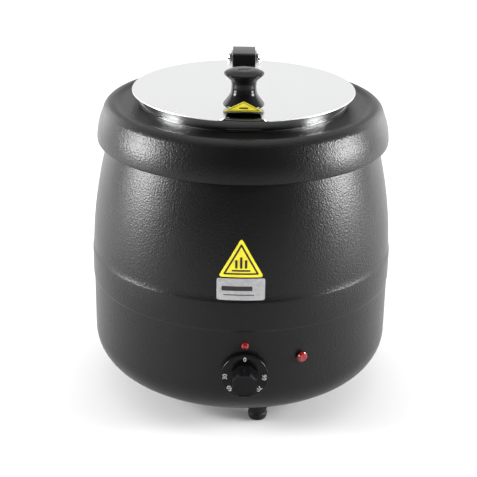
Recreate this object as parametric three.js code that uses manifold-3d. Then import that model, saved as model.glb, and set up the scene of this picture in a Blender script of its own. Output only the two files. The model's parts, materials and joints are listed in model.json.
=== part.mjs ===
// Electric soup kettle: a painted steel drum with a top collar, a water bath heated from below,
// a lift-out soup pot, a lift-off lid ring and a hinged steel lid with a ladle notch.
// Millimetres, +Z up. The origin is on the kettle's axis at the level of the surface it stands on.
// The front, with the thermostat dial, faces -Y.
import * as THREE from 'three';
import { mergeVertices } from 'three/addons/utils/BufferGeometryUtils.js';
import Module from 'manifold-3d';

const wasm = await Module();
wasm.setup();

// ---------------------------------------------------------------- driving dimensions
const bodyDiameter = 340;        // drum, at its straight wall
const collarTopHeight = 334.5;    // from the standing surface to the crest of the collar
const sheet = 1.2;               // painted steel of the drum, collar and base
const gap = 0.3;                 // clearance between pieces that touch
const roundSides = 36;           // facets round every piece that shares the kettle's axis
const smallSides = 20;           // facets round small turned pieces

const foot = { height: 22, soleRadius: 9.4, treadRadius: 10.8, treadHeight: 7, waistRadius: 9.6,
  waistHeight: 9, topRadius: 14.6, inset: 6, frontAngle: 10, boreRadius: 2.4,
  headPocketRadius: 5, headPocketDepth: 6 };
const drum = { cornerRadius: 43, flangeWidth: 31.5, bandBottom: 133, bandHeight: 33, bandProud: 1,
  shoulderLean: 1.7, neckInset: 25, neckRise: 21.3, topFlangeGap: 6, topCornerRadius: 5 };
const collar = { height: 42.5, inset: 7.5, faceRadius: 70, faceRise: 34, crestRadius: 13,
  dishWidth: 8, dishDepth: 2.2, lipRadius: 2, mouthGap: 2 };
const pan = { wall: 1, wellSpace: 62.5, floorRise: 57, cornerRadius: 14, flangeWidth: 6.2 };
const pot = { wall: 0.8, waterGap: 7, floorRise: 17, cornerRadius: 18, rimOverhang: 4, rimHeight: 10,
  rimRound: 3 };
const ring = { wall: 1.4, wallGap: 3, coverWidth: 8, hemWidth: 2 };
const lid = { thickness: 1.2, overhang: 9, notchDepth: 32, notchWidth: 34, mouthWidth: 46,
  notchCorner: 5, mouthCorner: 8 };
const knob = { fromRim: 45.5, baseRadius: 14.5, flareRadius: 21.6, flareHeight: 4.8, hollowRadius: 14.6,
  hollowHeight: 15, neckRadius: 12.9, neckHeight: 22, brimRadius: 20.9, brimHeight: 37.6, topRadius: 11.6,
  height: 42, boreDepth: 18, washerRadius: 7 };
const hinge = { axisBehindLid: 7.5, axisHeight: 2, blockWidth: 27, blockReach: 37.5, blockHeight: 14,
  rearRadius: 6.5, pinRadius: 3, earThickness: 2, earGap: 0.6, openAngle: 100, stopHeight: 4,
  domeRadius: 6, domeLength: 4.2, rivetX: 7, rivetReach: 31, rivetDepth: 10 };
const bracketRivet = { x: 9, rise: 7.6, shankRadius: 1.6, headRadius: 3.2 };
const dial = { height: 82, x: 5.5, skirtRadius: 25.5, skirtThickness: 4, standOff: 2.2, gripAcross: 26,
  gripBaseAcross: 28, reach: 26.5, spindleRadius: 3, boreDepth: 15 };
const thermostat = { width: 32, depth: 28, tall: 32, setBack: 4.2, screwSpread: 14, bulbRadius: 3 };
const powerLamp = { height: 116, angle: 1.8, lensRadius: 4, stubRadius: 3, dome: 3.2, holderRadius: 5.5 };
const heatLamp = { height: 98.5, angle: 22.5, lensRadius: 6.3, stubRadius: 5, dome: 4.6, holderRadius: 8 };
const heater = { panInset: 38, rodRadius: 4, gapAngle: 24, legDrop: 20, plateOverlap: 10, plateThickness: 1.5,
  plateHoleRadius: 4, studRadius: 3, studLength: 22, clear: 1 };
const jacket = { thickness: 14, floorGap: 21, topGap: 23.3, panGap: 1.5 };
const gland = { height: 70, stubRadius: 7, flangeRadius: 11, flangeThickness: 4, tipRadius: 6, boreRadius: 3.6,
  nutRadius: 11, nutThickness: 5 };
const stub = 12;                 // how far a lamp or the gland reaches in behind the drum's wall
const sign = { side: 47, bandGap: 28.5, corner: 4, thickness: 0.5 };
const plate = { width: 50, bandGap: 3, height: 24, corner: 2.5 };
const knobSign = { width: 41, bottom: 3.2, height: 9.8, corner: 1.5, thickness: 0.5 };
const screw = { shankRadius: 2, headRadius: 4, headThickness: 2.6, nutRadius: 4.2, nutThickness: 3 };
const block = { width: 44, depth: 18, height: 18, rimGap: 21.5 };
const earth = { rimGap: 41.4, angle: 146 };
const cutout = { rimGap: 15, angle: -95, radius: 8, height: 9 };

// ---------------------------------------------------------------- radii and heights that stack up
const drumRadius = bodyDiameter / 2;
const baseRadius = drumRadius - drum.cornerRadius;
const plateRadius = baseRadius - 1.5;
const footCircle = baseRadius - foot.inset;
const bandTop = drum.bandBottom + drum.bandHeight;
const panRadius = drumRadius - pan.wellSpace;
const potRadius = panRadius - pot.waterGap;
const potRimRadius = panRadius + pot.rimOverhang;
const ringRadius = potRimRadius + ring.wallGap;
const lidRadius = ringRadius + lid.overhang;
const mouthRadius = panRadius + collar.mouthGap;
const collarRadius = drumRadius - collar.inset;
const heaterRadius = panRadius - heater.panInset;
const knobY = -(lidRadius - knob.fromRim);
const dialReach = drumRadius + dial.reach;
const collarBottom = collarTopHeight - collar.height;
const collarSeat = collarTopHeight - collar.dishDepth;
const flangeTop = collarSeat - sheet - gap;
const shoulderTop = flangeTop - drum.neckRise;
const panFloor = foot.height + pan.floorRise;
const potFloor = panFloor + pot.floorRise;
const panFlangeTop = collarSeat + gap + pan.wall;
const potRimBottom = panFlangeTop + gap;
const potRimTop = potRimBottom + pot.rimHeight;
const ringBottom = potRimBottom;
const ringTop = potRimTop + gap + ring.wall;
const lidBottom = ringTop + gap;
const lidTop = lidBottom + lid.thickness;
const basePlateBottom = foot.height + sheet + gap;
const basePlateTop = basePlateBottom + sheet;
const hingeAxis = new THREE.Vector2(lidRadius + hinge.axisBehindLid, lidTop + hinge.axisHeight);
const rodCentreHeight = panFloor - pan.wall - heater.clear - heater.rodRadius;
const clampTop = rodCentreHeight - heater.rodRadius - gap;
const thermostatFront = -(drumRadius - sheet - thermostat.setBack);
const thermostatBack = thermostatFront + thermostat.depth;
// Inside of the drum's flattest facet, which a holder or nut behind the wall has to clear.
const wallInside = drumRadius * Math.cos(Math.PI / roundSides) - sheet;

// ---------------------------------------------------------------- solids
const DEG = Math.PI / 180;
const P = (x, y) => new THREE.Vector2(x, y);

// A closed geometry becomes a manifold solid with its faces pointing out.
function solidOf(geometry) {
  const bare = geometry.index ? geometry.toNonIndexed() : geometry.clone();
  for (const name of Object.keys(bare.attributes)) {
    if (name !== 'position') bare.deleteAttribute(name);
  }
  const merged = mergeVertices(bare, 1e-4);
  const positions = merged.attributes.position.array;
  const corner = (i) => new THREE.Vector3().fromArray(positions, i * 3);
  const faces = [];
  let volume = 0;
  const index = merged.index.array;
  for (let i = 0; i < index.length; i += 3) {
    const [a, b, c] = [index[i], index[i + 1], index[i + 2]];
    if (a === b || b === c || c === a) continue;
    faces.push(a, b, c);
    volume += corner(a).dot(corner(b).cross(corner(c)));
  }
  if (volume < 0) faces.reverse();
  return new wasm.Manifold(new wasm.Mesh({
    numProp: 3, vertProperties: new Float32Array(positions), triVerts: new Uint32Array(faces),
  }));
}

function geometryOf(solid) {
  const mesh = solid.getMesh();
  const geometry = new THREE.BufferGeometry();
  geometry.setAttribute('position', new THREE.BufferAttribute(new Float32Array(mesh.vertProperties), 3));
  geometry.setIndex(new THREE.BufferAttribute(new Uint32Array(mesh.triVerts), 1));
  return geometry;
}

const join = (first, ...others) => others.reduce((sum, next) => sum.add(next), first);
const cut = (first, ...others) => others.reduce((rest, next) => rest.subtract(next), first);

// Points of an arc in the profile plane, from one angle to another, in degrees.
function arc(centre, radius, from, to, steps) {
  return Array.from({ length: steps + 1 }, (_, i) => {
    const angle = (from + (to - from) * i / steps) * DEG;
    return P(centre.x + radius * Math.cos(angle), centre.y + radius * Math.sin(angle));
  });
}

// A sheet of the given thickness on the left of a profile line, as a closed profile.
function sheetProfile(line, thickness) {
  const inner = line.map((point, i) => {
    const before = line[Math.max(i - 1, 0)];
    const after = line[Math.min(i + 1, line.length - 1)];
    const a = point.clone().sub(before).normalize();
    const b = after.clone().sub(point).normalize();
    const along = a.clone().add(b).normalize();
    const side = P(-along.y, along.x);
    const lean = i === 0 || i === line.length - 1 ? 1 : Math.max(side.dot(P(-a.y, a.x)), 0.5);
    return point.clone().add(side.multiplyScalar(thickness / lean));
  });
  return [...line, ...inner.reverse()];
}

// A closed profile of (radius, height) points turned about the Z axis.
function turned(profile, sides = smallSides) {
  const closed = [...profile, profile[0].clone()];
  return solidOf(new THREE.LatheGeometry(closed, sides).rotateX(Math.PI / 2));
}

function box(x0, x1, y0, y1, z0, z1) {
  const geometry = new THREE.BoxGeometry(x1 - x0, y1 - y0, z1 - z0);
  return solidOf(geometry.translate((x0 + x1) / 2, (y0 + y1) / 2, (z0 + z1) / 2));
}

// A cylinder along Z, or along the axis that `turn` gives.
function rod(radius, from, to, sides = smallSides) {
  const geometry = new THREE.CylinderGeometry(radius, radius, to - from, sides).rotateX(Math.PI / 2);
  return solidOf(geometry.translate(0, 0, (from + to) / 2));
}

// A flat outline extruded along Z.
function slab(shape, from, to, curveSegments = 4) {
  const geometry = new THREE.ExtrudeGeometry(shape, { depth: to - from, bevelEnabled: false, curveSegments });
  return solidOf(geometry.translate(0, 0, from));
}

// A round bar along a smooth curve through the points.
function bar(points, radius, steps, sides) {
  const section = new THREE.Shape(Array.from({ length: sides }, (_, i) => {
    const angle = 2 * Math.PI * i / sides;
    return P(radius * Math.cos(angle), radius * Math.sin(angle));
  }));
  const path = new THREE.CatmullRomCurve3(points.map((p) => new THREE.Vector3(...p)));
  return solidOf(new THREE.ExtrudeGeometry(section, { steps, bevelEnabled: false, extrudePath: path }));
}

// +Z is turned to the front (-Y), then the piece is swung about the kettle's axis.
const toFront = (solid, angle = 0) => solid.rotate([90, 0, 0]).rotate([0, 0, angle]);
// +Z is turned to +X.
const toSide = (solid) => solid.rotate([0, 90, 0]);

// A triangle with rounded corners, base down, its base line on y = 0.
function triangleShape(side, corner) {
  const height = side * Math.sqrt(3) / 2;
  const tips = [P(-side / 2, 0), P(side / 2, 0), P(0, height)];
  const shape = new THREE.Shape();
  tips.forEach((tip, i) => {
    const before = tips[(i + 2) % 3].clone().sub(tip).setLength(corner).add(tip);
    const after = tips[(i + 1) % 3].clone().sub(tip).setLength(corner).add(tip);
    if (i === 0) shape.moveTo(before.x, before.y);
    else shape.lineTo(before.x, before.y);
    shape.quadraticCurveTo(tip.x, tip.y, after.x, after.y);
  });
  shape.closePath();
  return shape;
}

function roundedRectangle(x0, x1, y0, y1, corner) {
  const shape = new THREE.Shape();
  shape.moveTo(x0 + corner, y0);
  shape.lineTo(x1 - corner, y0);
  shape.quadraticCurveTo(x1, y0, x1, y0 + corner);
  shape.lineTo(x1, y1 - corner);
  shape.quadraticCurveTo(x1, y1, x1 - corner, y1);
  shape.lineTo(x0 + corner, y1);
  shape.quadraticCurveTo(x0, y1, x0, y1 - corner);
  shape.lineTo(x0, y0 + corner);
  shape.quadraticCurveTo(x0, y0, x0 + corner, y0);
  return shape;
}

// ---------------------------------------------------------------- profiles
// Outside of the drum above the band: one large arc that leans in a little from the start.
function shoulderRadiusAt(height) {
  const span = shoulderTop - bandTop;
  const [sine, cosine] = [Math.sin(drum.shoulderLean * DEG), Math.cos(drum.shoulderLean * DEG)];
  const radius = (span ** 2 + drum.neckInset ** 2) / (2 * (drum.neckInset * cosine - span * sine));
  const rise = height - bandTop + radius * sine;
  return drumRadius - radius * cosine + Math.sqrt(radius ** 2 - rise ** 2);
}

function drumLine() {
  const bead = 1.5;
  const neckRadius = shoulderRadiusAt(shoulderTop);
  const shoulder = Array.from({ length: 5 }, (_, i) => {
    const height = bandTop + bead + (shoulderTop - bandTop - bead) * i / 4;
    return P(shoulderRadiusAt(height), height);
  });
  const corner = P(neckRadius - drum.topCornerRadius, flangeTop - drum.topCornerRadius);
  return [
    P(baseRadius - drum.flangeWidth, foot.height),
    ...arc(P(baseRadius, foot.height + drum.cornerRadius), drum.cornerRadius, -90, 0, 5),
    P(drumRadius, drum.bandBottom - 1),
    P(drumRadius + drum.bandProud, drum.bandBottom + 1),
    P(drumRadius + drum.bandProud, bandTop - 1),
    ...shoulder,
    ...arc(corner, drum.topCornerRadius, 0, 90, 2),
    P(mouthRadius + drum.topFlangeGap, flangeTop),
  ];
}

function collarLine() {
  const faceCentre = P(collarRadius - collar.faceRadius, collarBottom + collar.lipRadius);
  const faceAngle = Math.asin((collar.faceRise - collar.lipRadius) / collar.faceRadius) / DEG;
  const face = arc(faceCentre, collar.faceRadius, 0, faceAngle, 3);
  const faceEnd = face[face.length - 1];
  const crestCentre = P(faceEnd.x - collar.crestRadius * Math.cos(faceAngle * DEG),
    collarTopHeight - collar.crestRadius);
  const crest = arc(crestCentre, collar.crestRadius, faceAngle, 90, 3);
  const crestEnd = crest[crest.length - 1];
  return [
    P(collarRadius - collar.lipRadius * 0.6, collarBottom),
    ...face.slice(0, -1),
    ...crest,
    P(crestEnd.x - collar.dishWidth / 2, collarTopHeight - collar.dishDepth * 0.4),
    P(crestEnd.x - collar.dishWidth, collarSeat),
    P(mouthRadius, collarSeat),
  ];
}

// A deep-drawn vessel: floor, rounded corner and wall, as the line of its inside from the rim down.
function vesselLine(innerRadius, floorHeight, cornerRadius, topHeight) {
  return [
    P(innerRadius, topHeight),
    ...arc(P(innerRadius - cornerRadius, floorHeight + cornerRadius), cornerRadius, 0, -90, 3),
    P(0, floorHeight),
  ];
}

function vesselOutside(innerRadius, floorHeight, cornerRadius, wall) {
  return [
    P(0, floorHeight - wall),
    ...arc(P(innerRadius - cornerRadius, floorHeight + cornerRadius), cornerRadius + wall, -90, 0, 3),
  ];
}

// ---------------------------------------------------------------- the assembly
const group = new THREE.Group();
const finish = {
  blackPaint: { color: 0x1d1d1f, roughness: 0.5, metalness: 0.1 },
  steel: { color: 0xc9cbcd, roughness: 0.25, metalness: 1 },
  mirrorSteel: { color: 0xdfe1e3, roughness: 0.08, metalness: 1 },
  zinc: { color: 0x9da0a3, roughness: 0.45, metalness: 0.9 },
  bakelite: { color: 0x121214, roughness: 0.25, metalness: 0 },
  rubber: { color: 0x0f0f10, roughness: 0.8, metalness: 0 },
  redLens: { color: 0xa3141a, roughness: 0.2, metalness: 0 },
  nylon: { color: 0xe6e3dc, roughness: 0.6, metalness: 0 },
  brass: { color: 0xb8963e, roughness: 0.35, metalness: 1 },
  aluminium: { color: 0xb4b7ba, roughness: 0.4, metalness: 1 },
  wool: { color: 0xe9e4d2, roughness: 1, metalness: 0 },
  yellow: { color: 0xf2d40f, roughness: 0.5, metalness: 0 },
  silverFoil: { color: 0xd9dadb, roughness: 0.4, metalness: 0.3 },
  silicone: { color: 0x7c2a20, roughness: 0.6, metalness: 0 },
};

function piece(name, solid, look) {
  const mesh = new THREE.Mesh(geometryOf(solid), new THREE.MeshStandardMaterial({ name, ...finish[look] }));
  mesh.name = name;
  group.add(mesh);
}

function footPlaces() {
  return ['front', 'rear_right', 'rear_left'].map((name, i) => {
    const angle = (foot.frontAngle + 120 * i) * DEG;
    return { name, x: footCircle * Math.sin(angle), y: -footCircle * Math.cos(angle) };
  });
}

const footShaftHoles = () => footPlaces().map(({ x, y }) =>
  rod(foot.boreRadius, foot.height - 1, basePlateTop + 1, 12).translate([x, y, 0]));

function outerShell() {
  const shell = turned(sheetProfile(drumLine(), sheet), roundSides);
  const wallHole = (radius, height, angle) =>
    toFront(rod(radius, drumRadius - stub, drumRadius + 6, 16).translate([0, height, 0]), angle);
  const screwHoles = [-1, 1].map((side) =>
    toFront(rod(screw.shankRadius + gap, drumRadius - stub, drumRadius + 6, 12)
      .translate([dial.x + side * thermostat.screwSpread, dial.height, 0])));
  piece('outer_shell', cut(shell,
    toFront(rod(dial.spindleRadius + 2, drumRadius - stub, drumRadius + 6, 16).translate([dial.x, dial.height, 0])),
    wallHole(powerLamp.stubRadius + gap, powerLamp.height, powerLamp.angle),
    wallHole(heatLamp.stubRadius + gap, heatLamp.height, heatLamp.angle),
    wallHole(gland.stubRadius + gap, gland.height, 180),
    ...screwHoles, ...footShaftHoles()), 'blackPaint');
}

function topCollar() {
  piece('top_collar', turned(sheetProfile(collarLine(), sheet), roundSides), 'blackPaint');
}

function basePlate() {
  const disc = turned([P(0, basePlateBottom), P(plateRadius, basePlateBottom),
    P(plateRadius, basePlateTop), P(0, basePlateTop)], roundSides);
  const slots = Array.from({ length: 6 }, (_, i) =>
    box(-2.5, 2.5, 30, plateRadius - 61.5, basePlateBottom - 1, basePlateTop + 1).rotate([0, 0, 30 + 60 * i]));
  const earthHole = rod(screw.shankRadius + gap, basePlateBottom - 1, basePlateTop + 1, 12)
    .translate(earthPlace);
  piece('base_plate', cut(disc, earthHole, ...slots, ...footShaftHoles()), 'zinc');
}

// Turned rubber foot, with a pocket for its screw head in the sole.
function feet() {
  const profile = [
    P(foot.boreRadius, foot.headPocketDepth), P(foot.headPocketRadius, foot.headPocketDepth),
    P(foot.headPocketRadius, 0), P(foot.soleRadius, 0), P(foot.treadRadius, 1.6),
    P(foot.treadRadius, foot.treadHeight), P(foot.waistRadius, foot.waistHeight),
    P(foot.topRadius, foot.height - gap), P(foot.boreRadius, foot.height - gap),
  ];
  const nutBottom = basePlateTop + gap;
  for (const { name, x, y } of footPlaces()) {
    const place = (solid) => solid.translate([x, y, 0]);
    piece(`foot_${name}`, place(turned(profile, 16)), 'rubber');
    const headTop = foot.headPocketDepth - gap;
    const head = rod(screw.headRadius, headTop - screw.headThickness, headTop, 12);
    const shank = rod(screw.shankRadius, headTop - 0.5, nutBottom + screw.nutThickness + 2, 12);
    piece(`foot_screw_${name}`, place(join(head, shank)), 'zinc');
    piece(`foot_nut_${name}`, place(nut(nutBottom)), 'zinc');
  }
}

// Hexagon nut with its lower face at the given height.
function nut(bottom, radius = screw.nutRadius, bore = screw.shankRadius + gap, thickness = screw.nutThickness) {
  return cut(rod(radius, bottom, bottom + thickness, 6), rod(bore, bottom - 1, bottom + thickness + 1, 12));
}

function waterPan() {
  const inside = vesselLine(panRadius, panFloor, pan.cornerRadius, panFlangeTop);
  const outside = vesselOutside(panRadius, panFloor, pan.cornerRadius, pan.wall);
  const flangeRadius = panRadius + pan.flangeWidth;
  const rimBottom = panFlangeTop - pan.wall;
  const body = turned([...inside, ...outside, P(panRadius + pan.wall, rimBottom),
    P(flangeRadius, rimBottom), P(flangeRadius, panFlangeTop)], roundSides);
  const panUnderside = panFloor - pan.wall;
  const stud = rod(heater.studRadius, panUnderside - heater.studLength, panUnderside + pan.wall / 2, 12);
  piece('water_pan', join(body, stud), 'steel');
}

function insulationJacket() {
  const inner = panRadius + pan.wall + jacket.panGap;
  const outer = inner + jacket.thickness;
  const low = panFloor + jacket.floorGap;
  const high = flangeTop - jacket.topGap;
  piece('insulation_jacket', turned([P(inner, low), P(outer, low), P(outer, high), P(inner, high)],
    roundSides), 'wool');
}

// Open heating ring under the pan, both ends bent down at the front, held up by a plate and a nut.
function heatingElement() {
  const turns = 16;
  const start = heater.gapAngle;
  const around = Array.from({ length: turns + 1 }, (_, i) => {
    const angle = (start + (360 - 2 * start) * i / turns) * DEG;
    return [heaterRadius * Math.sin(angle), -heaterRadius * Math.cos(angle), rodCentreHeight];
  });
  const leg = (side) => {
    const x = side * heaterRadius * Math.sin(start * DEG);
    const y = -heaterRadius * Math.cos(start * DEG);
    return [[x - side * 7, y - 3, rodCentreHeight - 4],
      [x - side * 9, y - 4, rodCentreHeight - heater.legDrop / 2],
      [x - side * 9, y - 4, rodCentreHeight - heater.legDrop]];
  };
  const path = [...leg(1).reverse(), ...around, ...leg(-1)];
  piece('heating_element', bar(path, heater.rodRadius, 44, 8), 'steel');
}

function heaterClamp() {
  const outer = heaterRadius + heater.plateOverlap;
  const bottom = clampTop - heater.plateThickness;
  const disc = turned([P(heater.plateHoleRadius, bottom), P(outer, bottom), P(outer, clampTop),
    P(heater.plateHoleRadius, clampTop)], roundSides / 2);
  const halfNotch = heaterRadius * Math.sin(heater.gapAngle * DEG) + heater.rodRadius;
  const notch = box(-halfNotch, halfNotch, -outer - 1, -heaterRadius * 0.7, bottom - 1, clampTop + 1);
  piece('heater_clamp_plate', cut(disc, notch), 'aluminium');
  const nutThickness = 5;
  piece('clamp_nut', nut(bottom - gap - nutThickness, 6.5,
    heater.studRadius + gap, nutThickness), 'zinc');
}

// Thermostat behind the dial, its bulb held between the pan's floor and the clamp plate.
function thermostatPieces() {
  const half = thermostat.width / 2;
  const low = dial.height - thermostat.tall / 2;
  const casing = box(dial.x - half, dial.x + half, thermostatFront, thermostatBack, low, low + thermostat.tall);
  const shaftHole = toFront(rod(dial.spindleRadius + gap, -thermostatFront - 12, -thermostatFront + 1, 16)
    .translate([dial.x, dial.height, 0]));
  const screwHoles = [-1, 1].map((side) =>
    toFront(rod(screw.shankRadius + gap, -thermostatFront - 8, -thermostatFront + 1, 12)
      .translate([dial.x + side * thermostat.screwSpread, dial.height, 0])));
  piece('thermostat_body', cut(casing, shaftHole, ...screwHoles), 'nylon');

  const headSeat = drumRadius + gap;
  for (const [name, side] of [['left', -1], ['right', 1]]) {
    const shank = rod(screw.shankRadius, -thermostatFront - 7, headSeat + 0.5, 12);
    const head = rod(screw.headRadius - 1, headSeat, headSeat + 1.2, 12);
    piece(`thermostat_screw_${name}`,
      toFront(join(shank, head).translate([dial.x + side * thermostat.screwSpread, dial.height, 0])), 'zinc');
  }

  const bulbHeight = panFloor - pan.wall - gap - thermostat.bulbRadius;
  const bulbHalf = heaterRadius * 0.43;
  const bulbY = -heaterRadius * 0.48;
  const bulb = toSide(rod(thermostat.bulbRadius, -bulbHalf, bulbHalf - 2, 12)).translate([0, bulbY, bulbHeight]);
  const capillary = bar([[dial.x, thermostatBack + gap, dial.height - 4], [dial.x, thermostatBack + 14, dial.height - 5],
    [2, -heaterRadius - 26, dial.height - 10], [2, -heaterRadius - 2, bulbHeight - 2],
    [bulbHalf / 2 + 1, bulbY - 16, bulbHeight - 0.5], [bulbHalf + 4, bulbY - 4, bulbHeight],
    [bulbHalf - 3, bulbY, bulbHeight]], 1, 28, 6);
  piece('thermostat_bulb', join(bulb, capillary), 'brass');
}

// Neon lamp: a domed lens whose stub passes the wall, and the holder pressed on behind it.
function lamp(name, size) {
  const seat = drumRadius + gap;
  const dome = Array.from({ length: 5 }, (_, i) => {
    const angle = i / 4 * 90 * DEG;
    return P(size.lensRadius * Math.cos(angle), seat + 1 + (size.dome - 1) * Math.sin(angle));
  });
  const stubBottom = drumRadius - stub;
  const lens = turned([P(0, stubBottom), P(size.stubRadius, stubBottom), P(size.stubRadius, seat),
    P(size.lensRadius, seat), ...dome], 16);
  piece(`${name}_lens`, toFront(lens.translate([0, size.height, 0]), size.angle), 'redLens');
  const holderTop = wallInside - 1.2;
  const holder = turned([P(size.stubRadius + gap, stubBottom - 4), P(size.holderRadius, stubBottom - 4),
    P(size.holderRadius, holderTop), P(size.stubRadius + gap, holderTop)], 16);
  piece(`${name}_holder`, toFront(holder.translate([0, size.height, 0]), size.angle), 'nylon');
}

function cordGland() {
  const seat = drumRadius + gap;
  const tip = dialReach;
  const profile = [P(gland.boreRadius, drumRadius - stub), P(gland.stubRadius, drumRadius - stub),
    P(gland.stubRadius, seat), P(gland.flangeRadius, seat), P(gland.flangeRadius, seat + gland.flangeThickness),
    P(gland.stubRadius + 1, seat + gland.flangeThickness + 1.5), P(gland.tipRadius, tip - 1),
    P(gland.tipRadius - 1, tip), P(gland.boreRadius, tip)];
  piece('cord_gland', toFront(turned(profile).translate([0, gland.height, 0]), 180), 'bakelite');
  const nutTop = wallInside - 1.6;
  const ringNut = nut(nutTop - gland.nutThickness, gland.nutRadius, gland.stubRadius + gap, gland.nutThickness);
  piece('gland_nut', toFront(ringNut.translate([0, gland.height, 0]), 180), 'bakelite');
}

// Wiring in the space between the pan and the base plate.
const around = (radius, angle) => [radius * Math.sin(angle * DEG), -radius * Math.cos(angle * DEG), 0];
const earthPlace = around(plateRadius - earth.rimGap, earth.angle);

function wiring() {
  const floor = basePlateTop + gap;
  const blockRear = plateRadius - block.rimGap;
  const blockMiddle = blockRear - block.depth / 2;
  piece('terminal_block', box(-block.width / 2, block.width / 2, blockRear - block.depth, blockRear,
    floor, floor + block.height), 'nylon');
  const head = rod(screw.headRadius, basePlateBottom - gap - 0.2 - 1.8, basePlateBottom - gap, 12);
  const shank = rod(screw.shankRadius, basePlateBottom - gap - 1, floor + screw.nutThickness + 5, 12);
  piece('earth_screw', join(head, shank).translate(earthPlace), 'brass');
  piece('earth_nut', nut(floor).translate(earthPlace), 'brass');
  const panUnderside = panFloor - pan.wall - gap;
  piece('thermal_cutout', rod(cutout.radius, panUnderside - cutout.height, panUnderside, 16)
    .translate(around(panRadius - cutout.rimGap, cutout.angle)), 'bakelite');

  const lead = (name, points) => piece(name, bar(points, 1.4, 22, 6), 'silicone');
  const legX = heaterRadius * Math.sin(heater.gapAngle * DEG) - 9;
  const legY = -heaterRadius * Math.cos(heater.gapAngle * DEG) - 4;
  const legEnd = rodCentreHeight - heater.legDrop - gap;
  const blockTop = floor + block.height + gap;
  const boxBack = thermostatBack + 1.6;
  const low = floor + 8;
  lead('lead_heater_switched', [[legX, legY, legEnd], [legX, legY, legEnd - 6], [legX - 6, legY - 16, low + 4],
    [dial.x + 10, boxBack + 16, low + 16], [dial.x + 10, boxBack, dial.height - 11]]);
  lead('lead_heater_neutral', [[-legX, legY, legEnd], [-legX, legY, legEnd - 6], [-legX - 4, legY + 30, low + 4],
    [-16, 20, low], [-14, blockMiddle - 24, low + 6], [-12, blockMiddle, blockTop + 8],
    [-12, blockMiddle, blockTop]]);
  lead('lead_supply_live', [[dial.x - 10, boxBack, dial.height - 11], [dial.x - 12, boxBack + 12, dial.height - 19],
    [-52, boxBack + 45, low + 6], [-66, 0, low + 2], [-30, blockMiddle - 30, low + 8],
    [4, blockMiddle, blockTop + 10], [4, blockMiddle, blockTop]]);
  const lampRadius = drumRadius - stub - 4 - gap;
  const lampAngle = heatLamp.angle * DEG;
  const lampBack = [lampRadius * Math.sin(lampAngle), -lampRadius * Math.cos(lampAngle), heatLamp.height];
  lead('lead_heat_lamp', [[dial.x + 13, boxBack, dial.height + 4], [dial.x + 19, boxBack + 6, dial.height + 4],
    [44, boxBack + 8, heatLamp.height - 14], [lampBack[0] - 3, lampBack[1] + 6, heatLamp.height - 4], lampBack]);
}

// A sticker: a thin skin that follows the drum, trimmed to an outline seen from the front.
function drumSticker(name, shape, bottom, top, look) {
  const steps = 4;
  const line = Array.from({ length: steps + 1 }, (_, i) => {
    const height = bottom - 2 + (top - bottom + 4) * i / steps;
    return P(shoulderRadiusAt(height), height);
  });
  const skin = [...line.map((p) => P(p.x + gap, p.y)),
    ...line.reverse().map((p) => P(p.x + gap + sign.thickness, p.y))];
  const stamp = toFront(slab(shape, drumRadius - 40, drumRadius + 20));
  piece(name, turned(skin, roundSides).intersect(stamp), look);
}

function stickers() {
  const plateBottom = bandTop + plate.bandGap;
  const plateTop = plateBottom + plate.height;
  const signBottom = bandTop + sign.bandGap;
  const raised = (shape, lift) => new THREE.Shape(shape.getPoints(4).map((p) => P(p.x, p.y + lift)));
  drumSticker('heat_sign', raised(triangleShape(sign.side, sign.corner), signBottom),
    signBottom, signBottom + sign.side, 'yellow');
  drumSticker('name_plate', roundedRectangle(-plate.width / 2, plate.width / 2, plateBottom, plateTop,
    plate.corner), plateBottom, plateTop, 'silverFoil');
}

// ---------------------------------------------------------------- pot, ring and lid
function innerPot() {
  const lipCentre = P(potRimRadius - pot.rimRound, potRimTop - pot.rimRound);
  const lipRound = arc(lipCentre, pot.rimRound, 90, 0, 2);
  const lipInner = arc(lipCentre, pot.rimRound - pot.wall, 90, 0, 2);
  const outerWall = potRadius + pot.wall;
  const profile = [
    ...vesselLine(potRadius, potFloor, pot.cornerRadius, potRimTop),
    ...vesselOutside(potRadius, potFloor, pot.cornerRadius, pot.wall),
    P(outerWall, potRimTop - pot.wall), ...lipInner,
    P(potRimRadius - pot.wall, potRimBottom), P(potRimRadius, potRimBottom), ...lipRound.reverse(),
  ];
  piece('inner_pot', turned(profile, roundSides), 'steel');
}

function lidRing() {
  const inner = ringRadius - ring.wall;
  const hemRadius = ringRadius + ring.hemWidth;
  const coverRadius = ringRadius - ring.coverWidth;
  const profile = [
    P(inner, ringBottom), P(hemRadius, ringBottom), P(hemRadius, ringBottom + ring.wall),
    P(ringRadius, ringBottom + ring.wall), P(ringRadius, ringTop - 1), P(ringRadius - 1, ringTop),
    P(coverRadius, ringTop), P(coverRadius, ringTop - ring.wall), P(inner, ringTop - ring.wall),
  ];
  const holes = rivetHoles(bracketRivet.shankRadius + gap);
  piece('lid_ring', cut(turned(profile, roundSides), ...holes), 'mirrorSteel');
}

// Two rivets hold the hinge bracket on the back of the ring.
const bracketRivetHeight = ringBottom + bracketRivet.rise;
const bracketPlateY = ringRadius + gap;

function rivetHoles(radius) {
  return [-1, 1].map((side) => toFront(rod(radius, ringRadius - 5, ringRadius + 6, 12)
    .translate([side * bracketRivet.x, bracketRivetHeight, 0]), 180));
}

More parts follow.
